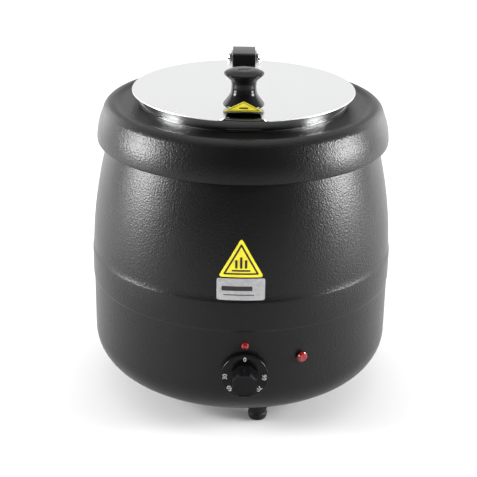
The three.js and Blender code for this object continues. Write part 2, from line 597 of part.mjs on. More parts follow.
// Folded steel bracket: front plate on the ring, floor, two ears for the pin and a rear web as the stop.
function hingeBracket() {
  const t = hinge.earThickness;
  const inside = hinge.blockWidth / 2 + hinge.earGap;
  const outside = inside + t;
  const [axisY, axisZ] = [hingeAxis.x, hingeAxis.y];
  const low = ringBottom + ring.wall + 0.6;
  const lidClear = lidBottom - gap - 0.3;
  const frontPlate = box(-outside, outside, bracketPlateY, bracketPlateY + 1.5, low, lidClear);
  const radians = hinge.openAngle * DEG;
  const blockTop = hinge.blockHeight - hinge.axisHeight;
  const reachAlong = (hinge.stopHeight - blockTop * Math.cos(radians)) / Math.sin(radians);
  const stopY = axisY + blockTop * Math.sin(radians) - reachAlong * Math.cos(radians) + 0.35;
  const web = box(-outside, outside, stopY, stopY + t, low, axisZ + hinge.stopHeight);
  const floorPlate = box(-outside, outside, bracketPlateY, stopY + t, low, low + t);
  const ear = (side) => {
    const x0 = side > 0 ? inside : -outside;
    const upright = box(x0, x0 + t, lidRadius + 1.5, stopY + t, low, axisZ);
    const root = box(x0, x0 + t, bracketPlateY, stopY + t, low, lidClear);
    const round = toSide(rod(hinge.rearRadius + 0.5, 0, t, 20)).translate([x0, axisY + 2, axisZ]);
    const top = round.intersect(box(x0 - 1, x0 + t + 1, lidRadius + 1.5, stopY + t, low, axisZ + 20));
    return join(upright, root, top);
  };
  const pinHole = toSide(rod(hinge.pinRadius + gap, -outside - 1, outside + 1, 16)).translate([0, axisY, axisZ]);
  piece('hinge_bracket', cut(join(frontPlate, floorPlate, web, ear(1), ear(-1)),
    pinHole, ...rivetHoles(bracketRivet.shankRadius + gap)), 'steel');
  for (const [name, side] of [['left', -1], ['right', 1]]) {
    const shankStart = ringRadius - ring.wall;
    const headStart = bracketPlateY + 1.5 + gap;
    const shank = rod(bracketRivet.shankRadius, shankStart, headStart + 0.5, 12);
    const head = rod(bracketRivet.headRadius, headStart, headStart + 1.4, 12);
    piece(`bracket_rivet_${name}`,
      toFront(join(shank, head).translate([-side * bracketRivet.x, bracketRivetHeight, 0]), 180), 'steel');
  }
}

function hingePin() {
  const outside = hinge.blockWidth / 2 + hinge.earGap + hinge.earThickness;
  const dome = (start) => turned([P(0, start), P(hinge.domeRadius, start), P(hinge.domeRadius, start + 1.5),
    P(hinge.domeRadius * 0.7, start + hinge.domeLength - 0.6), P(0, start + hinge.domeLength)], 16);
  const place = (solid) => toSide(solid).translate([0, hingeAxis.x, hingeAxis.y]);
  const pin = rod(hinge.pinRadius, -outside - 0.8, outside + 1.5, 16);
  const head = dome(outside + gap).rotate([180, 0, 0]);
  piece('hinge_pin', place(join(pin, head)), 'steel');
  const pocket = rod(hinge.pinRadius + gap, outside, outside + 1.5 + gap, 16);
  piece('hinge_nut', place(cut(dome(outside + gap), pocket)), 'steel');
}

// Round flat lid with the ladle notch cut in its front edge.
function lidOutline() {
  const halfMouth = lid.mouthWidth / 2;
  const halfNotch = lid.notchWidth / 2;
  const mouthAngle = Math.asin((halfMouth + lid.mouthCorner * 0.5) / lidRadius);
  const rimY = -lidRadius * Math.cos(mouthAngle);
  const innerY = -lidRadius + lid.notchDepth;
  const shape = new THREE.Shape();
  shape.absarc(0, 0, lidRadius, -Math.PI / 2 + mouthAngle, 1.5 * Math.PI - mouthAngle, false);
  const side = (s) => [
    P(s * halfMouth, rimY - 0.3), P(s * (halfNotch + 1.5), rimY + lid.mouthCorner),
    P(s * halfNotch, innerY - lid.notchCorner), P(s * (halfNotch - lid.notchCorner), innerY),
  ];
  const left = side(-1);
  const right = side(1).reverse();
  shape.quadraticCurveTo(left[0].x, left[0].y, left[1].x, left[1].y);
  shape.lineTo(left[2].x, left[2].y);
  shape.quadraticCurveTo(-halfNotch, innerY, left[3].x, left[3].y);
  shape.lineTo(right[0].x, right[0].y);
  shape.quadraticCurveTo(halfNotch, innerY, right[1].x, right[1].y);
  shape.lineTo(right[2].x, right[2].y);
  const start = P(lidRadius * Math.sin(mouthAngle), rimY);
  shape.quadraticCurveTo(right[3].x, right[3].y, start.x, start.y);
  return shape;
}

const hingeRivetY = lidRadius + hinge.axisBehindLid - hinge.rivetReach;

function lidPlate() {
  const sheetLid = slab(lidOutline(), lidBottom, lidTop, 16);
  const knobHole = rod(screw.shankRadius + 0.6, lidBottom - 1, lidTop + 1, 12).translate([0, knobY, 0]);
  const rivets = [-1, 1].map((side) => rod(screw.shankRadius + gap, lidBottom - 1, lidTop + 1, 12)
    .translate([side * hinge.rivetX, hingeRivetY, 0]));
  piece('lid_plate', cut(sheetLid, knobHole, ...rivets), 'mirrorSteel');
}

// Knob profile above its base, without the screw hole: flared skirt, hollow, neck and domed cap.
function knobLine() {
  return [
    P(knob.baseRadius, 0), P(knob.flareRadius - 0.5, knob.flareHeight - 0.9),
    P(knob.flareRadius, knob.flareHeight), P(18.1, 10), P(knob.hollowRadius, knob.hollowHeight),
    P(13.2, 18.5), P(knob.neckRadius, knob.neckHeight), P(knob.neckRadius + 0.5, 29), P(15, 31.8),
    P(knob.brimRadius - 0.4, knob.brimHeight - 1), P(knob.brimRadius, knob.brimHeight),
    P(18.6, 39.2), P(knob.topRadius + 1, knob.height - 0.7), P(knob.topRadius - 2, knob.height), P(0, knob.height),
  ];
}

function lidKnob() {
  const seat = lidTop + gap;
  const boreRadius = screw.shankRadius + gap;
  const line = [P(0, knob.boreDepth), P(boreRadius, knob.boreDepth), P(boreRadius, 0), ...knobLine()];
  const place = (solid) => solid.translate([0, knobY, 0]);
  piece('lid_knob', place(turned(line.map((p) => P(p.x, p.y + seat)), 28)), 'bakelite');

  const washerTop = lidBottom - gap;
  const washer = turned([P(boreRadius + gap, washerTop - 1), P(knob.washerRadius, washerTop - 1),
    P(knob.washerRadius, washerTop), P(boreRadius + gap, washerTop)]);
  piece('knob_washer', place(washer), 'steel');
  const headTop = washerTop - 1 - gap;
  const head = rod(screw.headRadius, headTop - 2, headTop, 12);
  const shank = rod(screw.shankRadius, headTop - 0.5, seat + knob.boreDepth - 1, 12);
  piece('knob_screw', place(join(head, shank)), 'steel');

  // Flat warning tag standing against the front of the knob's flared skirt.
  const half = knobSign.width / 2;
  const corners = triangleShape(1, 0.035).getPoints(3);
  const tall = Math.max(...corners.map((p) => p.y));
  const wide = Math.max(...corners.map((p) => p.x));
  const tag = new THREE.Shape(corners.map((p) =>
    P(p.x / wide * half, knobSign.bottom + p.y / tall * knobSign.height)));
  const tagBack = knob.flareRadius - knobY + gap;
  piece('knob_sign', toFront(slab(tag, tagBack, tagBack + knobSign.thickness)).translate([0, 0, seat]), 'yellow');
}

// Moulded block on the lid, round at the back where the hinge pin passes through it.
function hingeBlock() {
  const base = lidTop + gap;
  const top = lidTop + hinge.blockHeight;
  const [axisY, axisZ] = [hingeAxis.x, hingeAxis.y];
  const blockFront = axisY - hinge.blockReach;
  const round = 4;
  const side = new THREE.Shape();
  side.moveTo(blockFront, base);
  const meet = Math.asin((axisZ - base) / hinge.rearRadius);
  side.lineTo(axisY - hinge.rearRadius * Math.cos(meet), base);
  side.absarc(axisY, axisZ, hinge.rearRadius, -Math.PI + meet, 0, false);
  side.lineTo(axisY + hinge.rearRadius, top - hinge.rearRadius);
  side.quadraticCurveTo(axisY + hinge.rearRadius, top, axisY, top);
  side.lineTo(blockFront + round, top);
  side.quadraticCurveTo(blockFront, top, blockFront, top - round);
  side.closePath();
  const half = hinge.blockWidth / 2;
  // The outline is drawn in (y, z) and extruded along X.
  const body = slab(side, -half, half, 8).rotate([90, 0, 0]).rotate([0, 0, 90]);
  const bore = toSide(rod(hinge.pinRadius + gap, -half - 1, half + 1, 16)).translate([0, axisY, axisZ]);
  const rivetBores = [-1, 1].map((s) => rod(screw.shankRadius + gap, base - 1, base + hinge.rivetDepth, 12)
    .translate([s * hinge.rivetX, hingeRivetY, 0]));
  piece('hinge_block', cut(body, bore, ...rivetBores), 'bakelite');
  for (const [name, s] of [['left', -1], ['right', 1]]) {
    const headTop = lidBottom - gap;
    const head = rod(screw.headRadius - 0.4, headTop - 1, headTop, 12);
    const shank = rod(screw.shankRadius, headTop - 0.5, base + hinge.rivetDepth - 1, 12);
    piece(`hinge_rivet_${name}`, join(head, shank).translate([s * hinge.rivetX, hingeRivetY, 0]), 'steel');
  }
}

// ---------------------------------------------------------------- dial
function controlDial() {
  const back = drumRadius + dial.standOff;
  const skirtFront = back + dial.skirtThickness;
  const skirt = turned([P(0, back), P(dial.skirtRadius, back), P(dial.skirtRadius, back + 1.2),
    P(dial.skirtRadius - 1.6, skirtFront), P(0, skirtFront)], 32);
  const flatToCorner = 1 / Math.cos(22.5 * DEG);
  const grip = new THREE.CylinderGeometry(dial.gripAcross / 2 * flatToCorner,
    dial.gripBaseAcross / 2 * flatToCorner, dialReach - skirtFront + 0.5, 8);
  grip.rotateY(22.5 * DEG).rotateX(Math.PI / 2).translate(0, 0, (dialReach + skirtFront - 0.5) / 2);
  const bore = rod(dial.spindleRadius + gap, back - 1, back + dial.boreDepth, 16);
  const place = (solid) => toFront(solid.translate([dial.x, dial.height, 0]));
  piece('control_dial', place(cut(join(skirt, solidOf(grip)), bore)), 'bakelite');
  const spindle = rod(dial.spindleRadius, -thermostatFront - 11, back + dial.boreDepth - 1, 16);
  piece('dial_spindle', place(spindle), 'zinc');
}

outerShell();
topCollar();
basePlate();
feet();
waterPan();
insulationJacket();
heatingElement();
heaterClamp();
thermostatPieces();
lamp('power_lamp', powerLamp);
lamp('heat_lamp', heatLamp);
cordGland();
wiring();
stickers();
innerPot();
lidRing();
hingeBracket();
hingePin();
lidPlate();
lidKnob();
hingeBlock();
controlDial();

export default group;
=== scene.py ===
import json
from math import asin, atan2, cos, degrees, pi, radians, sin, sqrt

import bpy
from bpy.props import FloatProperty, FloatVectorProperty, IntProperty, PointerProperty
from bpy.types import Operator, Panel, PropertyGroup
from mathutils import Matrix, Vector


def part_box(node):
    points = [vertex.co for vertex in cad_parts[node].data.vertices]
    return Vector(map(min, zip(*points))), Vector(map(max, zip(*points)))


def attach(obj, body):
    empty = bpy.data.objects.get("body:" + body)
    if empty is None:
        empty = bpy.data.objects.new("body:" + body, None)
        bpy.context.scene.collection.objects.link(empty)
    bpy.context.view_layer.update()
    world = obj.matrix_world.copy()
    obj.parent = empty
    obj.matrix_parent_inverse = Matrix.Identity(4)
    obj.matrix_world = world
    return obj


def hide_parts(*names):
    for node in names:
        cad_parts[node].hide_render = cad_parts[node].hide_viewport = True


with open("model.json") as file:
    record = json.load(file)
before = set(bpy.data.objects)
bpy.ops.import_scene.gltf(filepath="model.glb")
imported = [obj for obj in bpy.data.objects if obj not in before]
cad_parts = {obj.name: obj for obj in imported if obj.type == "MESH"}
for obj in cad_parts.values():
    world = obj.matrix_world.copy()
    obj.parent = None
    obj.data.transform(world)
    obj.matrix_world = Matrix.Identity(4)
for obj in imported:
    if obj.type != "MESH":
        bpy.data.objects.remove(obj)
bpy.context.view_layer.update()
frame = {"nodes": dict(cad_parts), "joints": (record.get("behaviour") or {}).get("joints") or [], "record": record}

bl_info = {
    "name": "Soup Kettle",
    "version": (1, 0, 0),
    "blender": (4, 5, 0),
    "location": "3D View > Sidebar > Soup Kettle",
    "description": "Builds the painted drum, collar, steel lid, knob, dial and labels of a soup kettle",
    "category": "Object",
}

MM = 0.001
TINY = 1e-6
TIP_RISE = 1.06  # a rounded triangle is drawn this much taller than it ends up
UP, FRONT, BACK, RIGHT = Vector((0, 0, 1)), Vector((0, -1, 0)), Vector((0, 1, 0)), Vector((1, 0, 0))


def low(node):
    """Lowest corner of a CAD node."""
    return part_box(node)[0]


def high(node):
    """Highest corner of a CAD node."""
    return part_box(node)[1]


def middle(node):
    """Centre of a CAD node's box."""
    return (low(node) + high(node)) / 2


def length(name, description, default):
    """A length that a user may change."""
    return FloatProperty(name=name, description=description, default=default, min=0, unit="LENGTH",
                         subtype="DISTANCE", precision=5)


def amount(name, description, default):
    """A brightness that a user may change."""
    return FloatProperty(name=name, description=description, default=default, min=0, max=5)


def power(name, description, default):
    """A light's power that a user may change."""
    return FloatProperty(name=name, description=description, default=default, min=0, unit="POWER")


def turn(name, description, default):
    """An angle that a user may change."""
    return FloatProperty(name=name, description=description, default=radians(default), subtype="ANGLE",
                         unit="ROTATION")


def colour(name, description, default):
    """A colour that a user may change."""
    return FloatVectorProperty(name=name, description=description, default=default, size=3, min=0, max=1,
                               subtype="COLOR")


# ---------------------------------------------------------------- sizes and colours
class DrumSizes(PropertyGroup):
    """Painted steel drum and its collar."""
    sheet: length("Sheet", "Thickness of the painted steel", 1.2 * MM)
    base_radius: length("Base radius", "Where the flat underside turns up", 127 * MM)
    flange_radius: length("Flange radius", "Inner edge of the underside flange", 95.5 * MM)
    band_bottom: length("Band bottom", "Height of the lower edge of the raised band", 133 * MM)
    band_height: length("Band height", "Height of the raised band", 33 * MM)
    band_proud: length("Band relief", "How far the band stands out of the wall", 1 * MM)
    shoulder_inset: length("Shoulder inset", "How far the shoulder leans in on its way up", 25 * MM)
    shoulder_top: length("Shoulder top", "Height where the shoulder meets the neck", 309.5 * MM)
    shoulder_lean: turn("Shoulder lean", "Slope of the shoulder where it leaves the band", 1.7)
    face_radius: length("Collar face radius", "Curve of the collar's tall face", 70 * MM)
    crest_radius: length("Collar crest radius", "Curve over the collar's crest", 13 * MM)
    dish_width: length("Dish width", "Width of the slope from the crest to the seat", 8 * MM)
    steps: IntProperty(name="Round steps", description="Facets round the large turned pieces", default=160,
                       min=32, max=256)


class VesselSizes(PropertyGroup):
    """Water pan, soup pot, lid ring and lid."""
    pan_radius: length("Pan radius", "Inside of the water pan", 107.5 * MM)
    pan_corner: length("Pan corner", "Rounding of the water pan's floor", 14 * MM)
    pan_wall: length("Pan wall", "Thickness of the water pan", 1 * MM)
    pot_radius: length("Pot radius", "Inside of the soup pot", 100.5 * MM)
    pot_corner: length("Pot corner", "Rounding of the soup pot's floor", 18 * MM)
    pot_wall: length("Pot wall", "Thickness of the soup pot", 0.8 * MM)
    rim_round: length("Rim round", "Rounding of the pot's rim", 3 * MM)
    ring_radius: length("Ring radius", "Outside of the lid ring's wall", 114.5 * MM)
    ring_wall: length("Ring wall", "Thickness of the lid ring", 1.4 * MM)
    cover_width: length("Ring cover", "Width of the ring's flat top", 8 * MM)
    notch_depth: length("Notch depth", "Depth of the ladle notch in the lid", 32 * MM)
    notch_width: length("Notch width", "Width of the ladle notch", 34 * MM)
    mouth_width: length("Notch mouth", "Width of the notch at the lid's edge", 46 * MM)
    lid_edge: length("Lid edge", "Rounding of the lid's edge", 0.35 * MM)


class HandleSizes(PropertyGroup):
    """Knob and hinge."""
    knob_place: length("Knob place", "Distance of the knob in front of the kettle's axis", 78 * MM)
    knob_lift: length("Knob lift", "Gap between the lid and the knob", 0.3 * MM)
    block_edge: length("Block edge", "Rounding of the hinge block's edges", 0.9 * MM)
    rear_radius: length("Block rear", "Rounding of the hinge block behind the pin", 6.5 * MM)
    bracket_edge: length("Bracket edge", "Rounding of the bracket's edges", 0.35 * MM)
    pin_radius: length("Pin radius", "Radius of the hinge pin", 3 * MM)


class FittingSizes(PropertyGroup):
    """Dial, lamps, feet and cord gland."""
    skirt_radius: length("Skirt radius", "Radius of the dial's skirt", 25.5 * MM)
    skirt_depth: length("Skirt depth", "Thickness of the dial's skirt", 4 * MM)
    grip_base: length("Grip base", "Width of the grip at the skirt", 28 * MM)
    grip_front: length("Grip front", "Width of the grip at its front", 26 * MM)
    figure_size: length("Figure size", "Height of the figures on the dial", 5 * MM)
    figure_radius: length("Figure radius", "Where the figures stand on the skirt", 20.6 * MM)
    power_lens: length("Power lamp", "Radius of the power lamp's lens", 4 * MM)
    heat_lens: length("Heat lamp", "Radius of the heating lamp's lens", 6.3 * MM)
    sole_radius: length("Foot sole", "Radius of a foot on the ground", 9.4 * MM)
    foot_top: length("Foot top", "Radius of a foot under the drum", 14.6 * MM)
    gland_flange: length("Gland flange", "Radius of the cord gland's flange", 11 * MM)


class LabelSizes(PropertyGroup):
    """Stickers on the drum and the knob."""
    sign_side: length("Sign side", "Width of the yellow sign", 47 * MM)
    sign_corner: length("Sign corner", "Rounding of the sign's corners", 4 * MM)
    sign_bottom: length("Sign bottom", "Height of the sign's lower edge", 194.5 * MM)
    plate_width: length("Plate width", "Width of the silver plate", 50 * MM)
    plate_bottom: length("Plate bottom", "Height of the plate's lower edge", 169 * MM)
    plate_height: length("Plate height", "Height of the silver plate", 24 * MM)
    lift: length("Sticker lift", "Gap between the drum and a sticker", 0.25 * MM)
    film: length("Sticker film", "Thickness of a sticker", 0.4 * MM)
    ink: length("Ink relief", "Thickness of the printed marks", 0.08 * MM)


class FinishColours(PropertyGroup):
    """Colours and grain of the finishes."""
    paint: colour("Paint", "Black hammered powder coat", (0.005, 0.005, 0.0053))
    pebble: length("Pebble", "Size of one pebble in the hammered paint", 1.3 * MM)
    mirror: colour("Mirror steel", "Polished stainless steel of the lid", (0.71, 0.713, 0.715))
    steel: colour("Brushed steel", "Drawn stainless steel of the vessels", (0.6, 0.61, 0.62))
    bakelite: colour("Bakelite", "Moulded black knob, dial and hinge", (0.004, 0.004, 0.0045))
    rubber: colour("Rubber", "Moulded black feet", (0.006, 0.006, 0.006))
    red: colour("Lamp red", "Red indicator lenses", (0.2, 0.004, 0.005))
    yellow: colour("Sign yellow", "Yellow vinyl", (0.86, 0.72, 0.02))
    foil: colour("Plate silver", "Silver foil plate", (0.46, 0.46, 0.47))
    print_black: colour("Print black", "Dark ink on the stickers", (0.006, 0.005, 0.004))
    print_white: colour("Print white", "White figures on the dial", (0.6, 0.6, 0.6))


class StageSettings(PropertyGroup):
    """Camera, floor and lights."""
    distance: length("Camera distance", "How far the camera stands in front of the kettle", 1.3)
    camera_height: length("Camera height", "Height of the camera above the floor", 0.7155)
    camera_side: FloatProperty(name="Camera side", description="Sideways place of the camera",
                               default=-0.0032, unit="LENGTH", subtype="DISTANCE", precision=5)
    pitch: turn("Camera pitch", "How far the camera looks down", 22.9)
    roll: turn("Camera roll", "Sideways tilt of the camera", 0.9)
    lens: FloatProperty(name="Lens", description="Focal length of the camera", default=91.6, min=10,
                        unit="CAMERA")
    floor: colour("Floor", "Plain pale floor", (0.96, 0.96, 0.96))
    side_light: power("Side lights", "Power of each side softbox", 60)
    rim_light: power("Rim lights", "Power of each panel behind the kettle", 10)
    top_light: power("Top light", "Power of the overhead softbox", 14)
    sky: amount("Surroundings", "Brightness of the room behind the kettle", 1.1)
    room_front: amount("Room front", "Brightness of the room on the camera's side", 0.04)


# ---------------------------------------------------------------- modelling by hand
def stand_clear():
    """Leaves edit mode and deselects everything."""
    if bpy.context.object and bpy.context.object.mode != "OBJECT":
        bpy.ops.object.mode_set(mode="OBJECT")
    bpy.ops.object.select_all(action="DESELECT")


def take(*pieces):
    """Selects the pieces, with the first one active."""
    stand_clear()
    for piece in pieces:
        piece.select_set(True)
    bpy.context.view_layer.objects.active = pieces[0]


def edit(piece):
    """Opens a piece in edit mode with all of it selected."""
    take(piece)
    bpy.ops.object.mode_set(mode="EDIT")
    bpy.ops.mesh.select_all(action="SELECT")


def close_up(piece):
    """Merges doubles, turns the faces outwards and leaves edit mode."""
    bpy.ops.mesh.select_all(action="SELECT")
    bpy.ops.mesh.remove_doubles(threshold=TINY)
    bpy.ops.mesh.normals_make_consistent(inside=False)
    bpy.ops.object.mode_set(mode="OBJECT")
    return piece


def settle(piece):
    """Moves a piece's place, turn and scale into its mesh."""
    take(piece)
    bpy.ops.object.transform_apply(location=True, rotation=True, scale=True)
    return piece


def primitive(name, add, **settings):
    """Adds one of Blender's primitives under a name of its own."""
    stand_clear()
    add(**settings)
    piece = bpy.context.object
    piece.name = piece.data.name = name
    return settle(piece)


def pen(name, points):
    """A line drawn from point to point by extruding one vertex."""
    piece = primitive(name, bpy.ops.mesh.primitive_plane_add, size=MM, location=points[0])
    edit(piece)
    bpy.ops.mesh.merge(type="CENTER")
    for here, there in zip(points, points[1:]):
        bpy.ops.mesh.extrude_vertices_move(TRANSFORM_OT_translate={"value": Vector(there) - Vector(here)})
    bpy.ops.mesh.select_all(action="SELECT")
    return piece


def turned(name, outline, centre=(0, 0, 0), axis=UP, steps=48, start=0.0, sweep=2 * pi):
    """A lathe piece: a closed outline of (radius, height along the axis) spun round the axis."""
    centre, axis = Vector(centre), Vector(axis)
    out = UP if abs(axis.x) > 0.5 else RIGHT
    out = Matrix.Rotation(start, 3, axis) @ out
    piece = pen(name, [centre + out * r + axis * h for r, h in [*outline, outline[0]]])
    bpy.ops.mesh.spin(steps=steps, angle=-sweep, center=centre, axis=axis)
    if sweep < 2 * pi - TINY:
        close_up(piece)
        edit(piece)
        bpy.ops.mesh.select_mode(type="EDGE")
        bpy.ops.mesh.select_all(action="DESELECT")
        bpy.ops.mesh.select_non_manifold()
        bpy.ops.mesh.fill_holes(sides=0)
        bpy.ops.mesh.select_mode(type="VERT")
    return close_up(piece)


def plate(name, outline, origin, across, up, thickness):
    """A flat plate: an outline of (across, up) filled, then extruded by the thickness vector."""
    origin, across, up = Vector(origin), Vector(across), Vector(up)
    piece = pen(name, [origin + across * u + up * v for u, v in [*outline, outline[0]]])
    bpy.ops.mesh.remove_doubles(threshold=TINY)
    bpy.ops.mesh.edge_face_add()
    bpy.ops.mesh.extrude_region_move(TRANSFORM_OT_translate={"value": Vector(thickness)})
    return close_up(piece)


def modified(piece, kind, **settings):
    """Adds a modifier, sets it and applies it."""
    take(piece)
    bpy.ops.object.modifier_add(type=kind)
    modifier = piece.modifiers[-1]
    for key, value in settings.items():
        setattr(modifier, key, value)
    bpy.ops.object.modifier_apply(modifier=modifier.name)
    return piece


def eased(piece, width, segments=2, angle=35):
    """Rounds a piece's sharp edges."""
    return modified(piece, "BEVEL", width=width, segments=segments, limit_method="ANGLE",
                    angle_limit=radians(angle), use_clamp_overlap=True)


def carved(piece, tool, operation="DIFFERENCE"):
    """Cuts a piece with a tool, or keeps what both share, and throws the tool away."""
    modified(piece, "BOOLEAN", object=tool, operation=operation, solver="EXACT")
    bpy.data.objects.remove(tool)
    return piece


def joined(name, *parts):
    """Joins parts into one piece."""
    take(*parts)
    if len(parts) > 1:
        bpy.ops.object.join()
    parts[0].name = parts[0].data.name = name
    return parts[0]


def copied(piece, name, move=(0, 0, 0)):
    """A copy with its own mesh, moved to its place."""
    take(piece)
    bpy.ops.object.duplicate(linked=False)
    twin = bpy.context.object
    twin.name = twin.data.name = name
    bpy.ops.transform.translate(value=move)
    return settle(twin)


def dressed(name, node, edge):
    """A copy of a CAD node with its loose triangles merged and its sharp edges rounded."""
    piece = copied(frame["nodes"][node], name)
    for key in [k for k in piece.keys() if k.startswith("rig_")]:
        del piece[key]
    piece.parent = None
    edit(piece)
    bpy.ops.mesh.remove_doubles(threshold=TINY)
    bpy.ops.mesh.dissolve_limited(angle_limit=radians(1))
    close_up(piece)
    return eased(piece, edge)


def painted(piece, *finishes):
    """Gives a piece its finishes, one for each material slot."""
    for i, finish in enumerate(finishes):
        if i < len(piece.data.materials):
            piece.data.materials[i] = finish
        else:
            piece.data.materials.append(finish)


def hand_over(piece, body, slot, *nodes, smooth=32):
    """Shades a finished piece, ties it to its CAD body and hides the CAD nodes that it stands for; the slot is not
    used.
    """
    take(piece)
    bpy.ops.object.shade_smooth_by_angle(angle=radians(smooth))
    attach(piece, body)
    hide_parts(*nodes)


# ---------------------------------------------------------------- outlines
def arc(centre, radius, start, end, steps):
    """Points of an arc, with its angles in degrees."""
    angles = [radians(start + (end - start) * i / steps) for i in range(steps + 1)]
    return [(centre[0] + radius * cos(a), centre[1] + radius * sin(a)) for a in angles]


def walled(line, thickness):
    """An open line given a wall on its left-hand side, as a closed outline."""
    inner = []
    for i, (x, y) in enumerate(line):
        before, after = line[max(i - 1, 0)], line[min(i + 1, len(line) - 1)]
        a = Vector((x - before[0], y - before[1])).normalized()
        b = Vector((after[0] - x, after[1] - y)).normalized()
        a, b = (a if a.length else b), (b if b.length else a)
        along = (a + b).normalized()
        inner.append((x - along.y * thickness / a.dot(along), y + along.x * thickness / a.dot(along)))
    return [*line, *reversed(inner)]


def eased_line(points, steps=4):
    """A smooth line through the points."""
    line = []
    for i in range(len(points) - 1):
        p0, p1 = points[max(i - 1, 0)], points[i]
        p2, p3 = points[i + 1], points[min(i + 2, len(points) - 1)]
        for k in range(steps):
            t = k / steps
            line.append(tuple(
                0.5 * (2 * b + (c - a) * t + (2 * a - 5 * b + 4 * c - d) * t ** 2
                       + (3 * b - a - 3 * c + d) * t ** 3)
                for a, b, c, d in zip(p0, p1, p2, p3)))
    return [*line, points[-1]]


def bend(before, corner, after, steps):
    """Points of a curve that leaves one point and reaches another, pulled towards the corner between them."""
    before, corner, after = Vector(before), Vector(corner), Vector(after)
    return [tuple(before * (1 - t) ** 2 + corner * 2 * t * (1 - t) + after * t ** 2)
            for t in [k / steps for k in range(steps + 1)]]


def rounded(corners, radius, steps=5):
    """A closed outline with every corner rounded."""
    line = []
    for i, corner in enumerate(corners):
        here = Vector(corner)
        before = here + (Vector(corners[i - 1]) - here).normalized() * radius
        after = here + (Vector(corners[(i + 1) % len(corners)]) - here).normalized() * radius
        line += bend(before, here, after, steps)
    return line


def rectangle(x0, x1, y0, y1):
    """Corners of a rectangle."""
    return [(x0, y0), (x1, y0), (x1, y1), (x0, y1)]


def in_mm(points, lift=0.0):
    """Points given in millimetres, raised by a length in metres."""
    return [(x * MM, y * MM + lift) for x, y in points]


def shoulder_radius(drum, height):
    """Radius of the drum's shoulder at a height: one large arc that leans in from the band."""
    wall = high("outer_shell").x - drum.band_proud
    start = drum.band_bottom + drum.band_height
    span = drum.shoulder_top - start
    sine, cosine = sin(drum.shoulder_lean), cos(drum.shoulder_lean)
    radius = (span ** 2 + drum.shoulder_inset ** 2) / (2 * (drum.shoulder_inset * cosine - span * sine))
    rise = height - start + radius * sine
    return wall - radius * cosine + sqrt(radius ** 2 - rise ** 2)


# ---------------------------------------------------------------- finishes
class Socket:
    """A shader value. Sums on it add their Math nodes."""

    def __init__(self, finish, link):
        self.finish, self.link = finish, link

    def sum(self, operation, first, second):
        return self.finish.node("ShaderNodeMath", {"operation": operation}, {0: first, 1: second})

    def __add__(self, other): return self.sum("ADD", self, other)
    def __radd__(self, other): return self.sum("ADD", other, self)
    def __sub__(self, other): return self.sum("SUBTRACT", self, other)
    def __rsub__(self, other): return self.sum("SUBTRACT", other, self)
    def __mul__(self, other): return self.sum("MULTIPLY", self, other)
    def __rmul__(self, other): return self.sum("MULTIPLY", other, self)


class Finish:
    """A procedural material in the making."""

    def __init__(self, name, base, roughness, metallic=0.0, **constants):
        self.material = bpy.data.materials.new(name)
        self.material.use_nodes = True
        self.tree = self.material.node_tree
        self.tree.nodes.clear()
        self.shader = self.tree.nodes.new("ShaderNodeBsdfPrincipled")
        output = self.tree.nodes.new("ShaderNodeOutputMaterial")
        self.tree.links.new(self.shader.outputs[0], output.inputs["Surface"])
        self.material.diffuse_color = (*base, 1)
        for key, value in {"Base Color": base, "Roughness": roughness, "Metallic": metallic,
                           **constants}.items():
            self.feed(key, value)

    def plug(self, socket, value):
        """Links a value to a socket, or sets it there."""
        if isinstance(value, Socket):
            self.tree.links.new(value.link, socket)
        elif hasattr(socket.default_value, "__len__") and len(value) < len(socket.default_value):
            socket.default_value = (*value, 1)
        else:
            socket.default_value = value

    def feed(self, key, value):
        """Plugs a value into the shader's socket of that name."""
        self.plug(self.shader.inputs[key.replace("_", " ")], value)

    def node(self, kind, settings=None, sockets=None, output=0):
        """Adds a node, sets it, plugs in its sockets and gives back one of its outputs."""
        made = self.tree.nodes.new(kind)
        for key, value in (settings or {}).items():
            setattr(made, key, value)
        for key, value in (sockets or {}).items():
            self.plug(made.inputs[key], value)
        return Socket(self, made.outputs[output])

    def place(self, centre=(0, 0, 0), stretch=(1, 1, 1)):
        """Object coordinates measured from a centre and stretched for a grain."""
        coordinates = self.node("ShaderNodeTexCoord", output="Object")
        moved = self.node("ShaderNodeVectorMath", {"operation": "SUBTRACT"}, {0: coordinates, 1: centre})
        return self.node("ShaderNodeVectorMath", {"operation": "MULTIPLY"}, {0: moved, 1: stretch})

    def noise(self, place, size, detail=2.0, rough=0.5):
        """Noise with features of a size in metres."""
        return self.node("ShaderNodeTexNoise", {}, {"Vector": place, "Scale": 1 / size, "Detail": detail,
                                                    "Roughness": rough})

    def blend(self, mask, first, second):
        """A colour between two, by a mask."""
        return self.node("ShaderNodeMix", {"data_type": "RGBA"}, {0: mask, 6: first, 7: second}, output=2)

    def bumps(self, height, strength, distance):
        """A normal from a height."""
        return self.node("ShaderNodeBump", {}, {"Height": height, "Strength": strength, "Distance": distance})

    def radius(self, place):
        """Distance from the kettle's upright axis."""
        flat = self.node("ShaderNodeVectorMath", {"operation": "MULTIPLY"}, {0: place, 1: (1, 1, 0)})
        return self.node("ShaderNodeVectorMath", {"operation": "LENGTH"}, {0: flat}, output="Value")


def scaled(shade, factor):
    """A colour made lighter or darker."""
    return tuple(min(channel * factor, 1) for channel in shade)


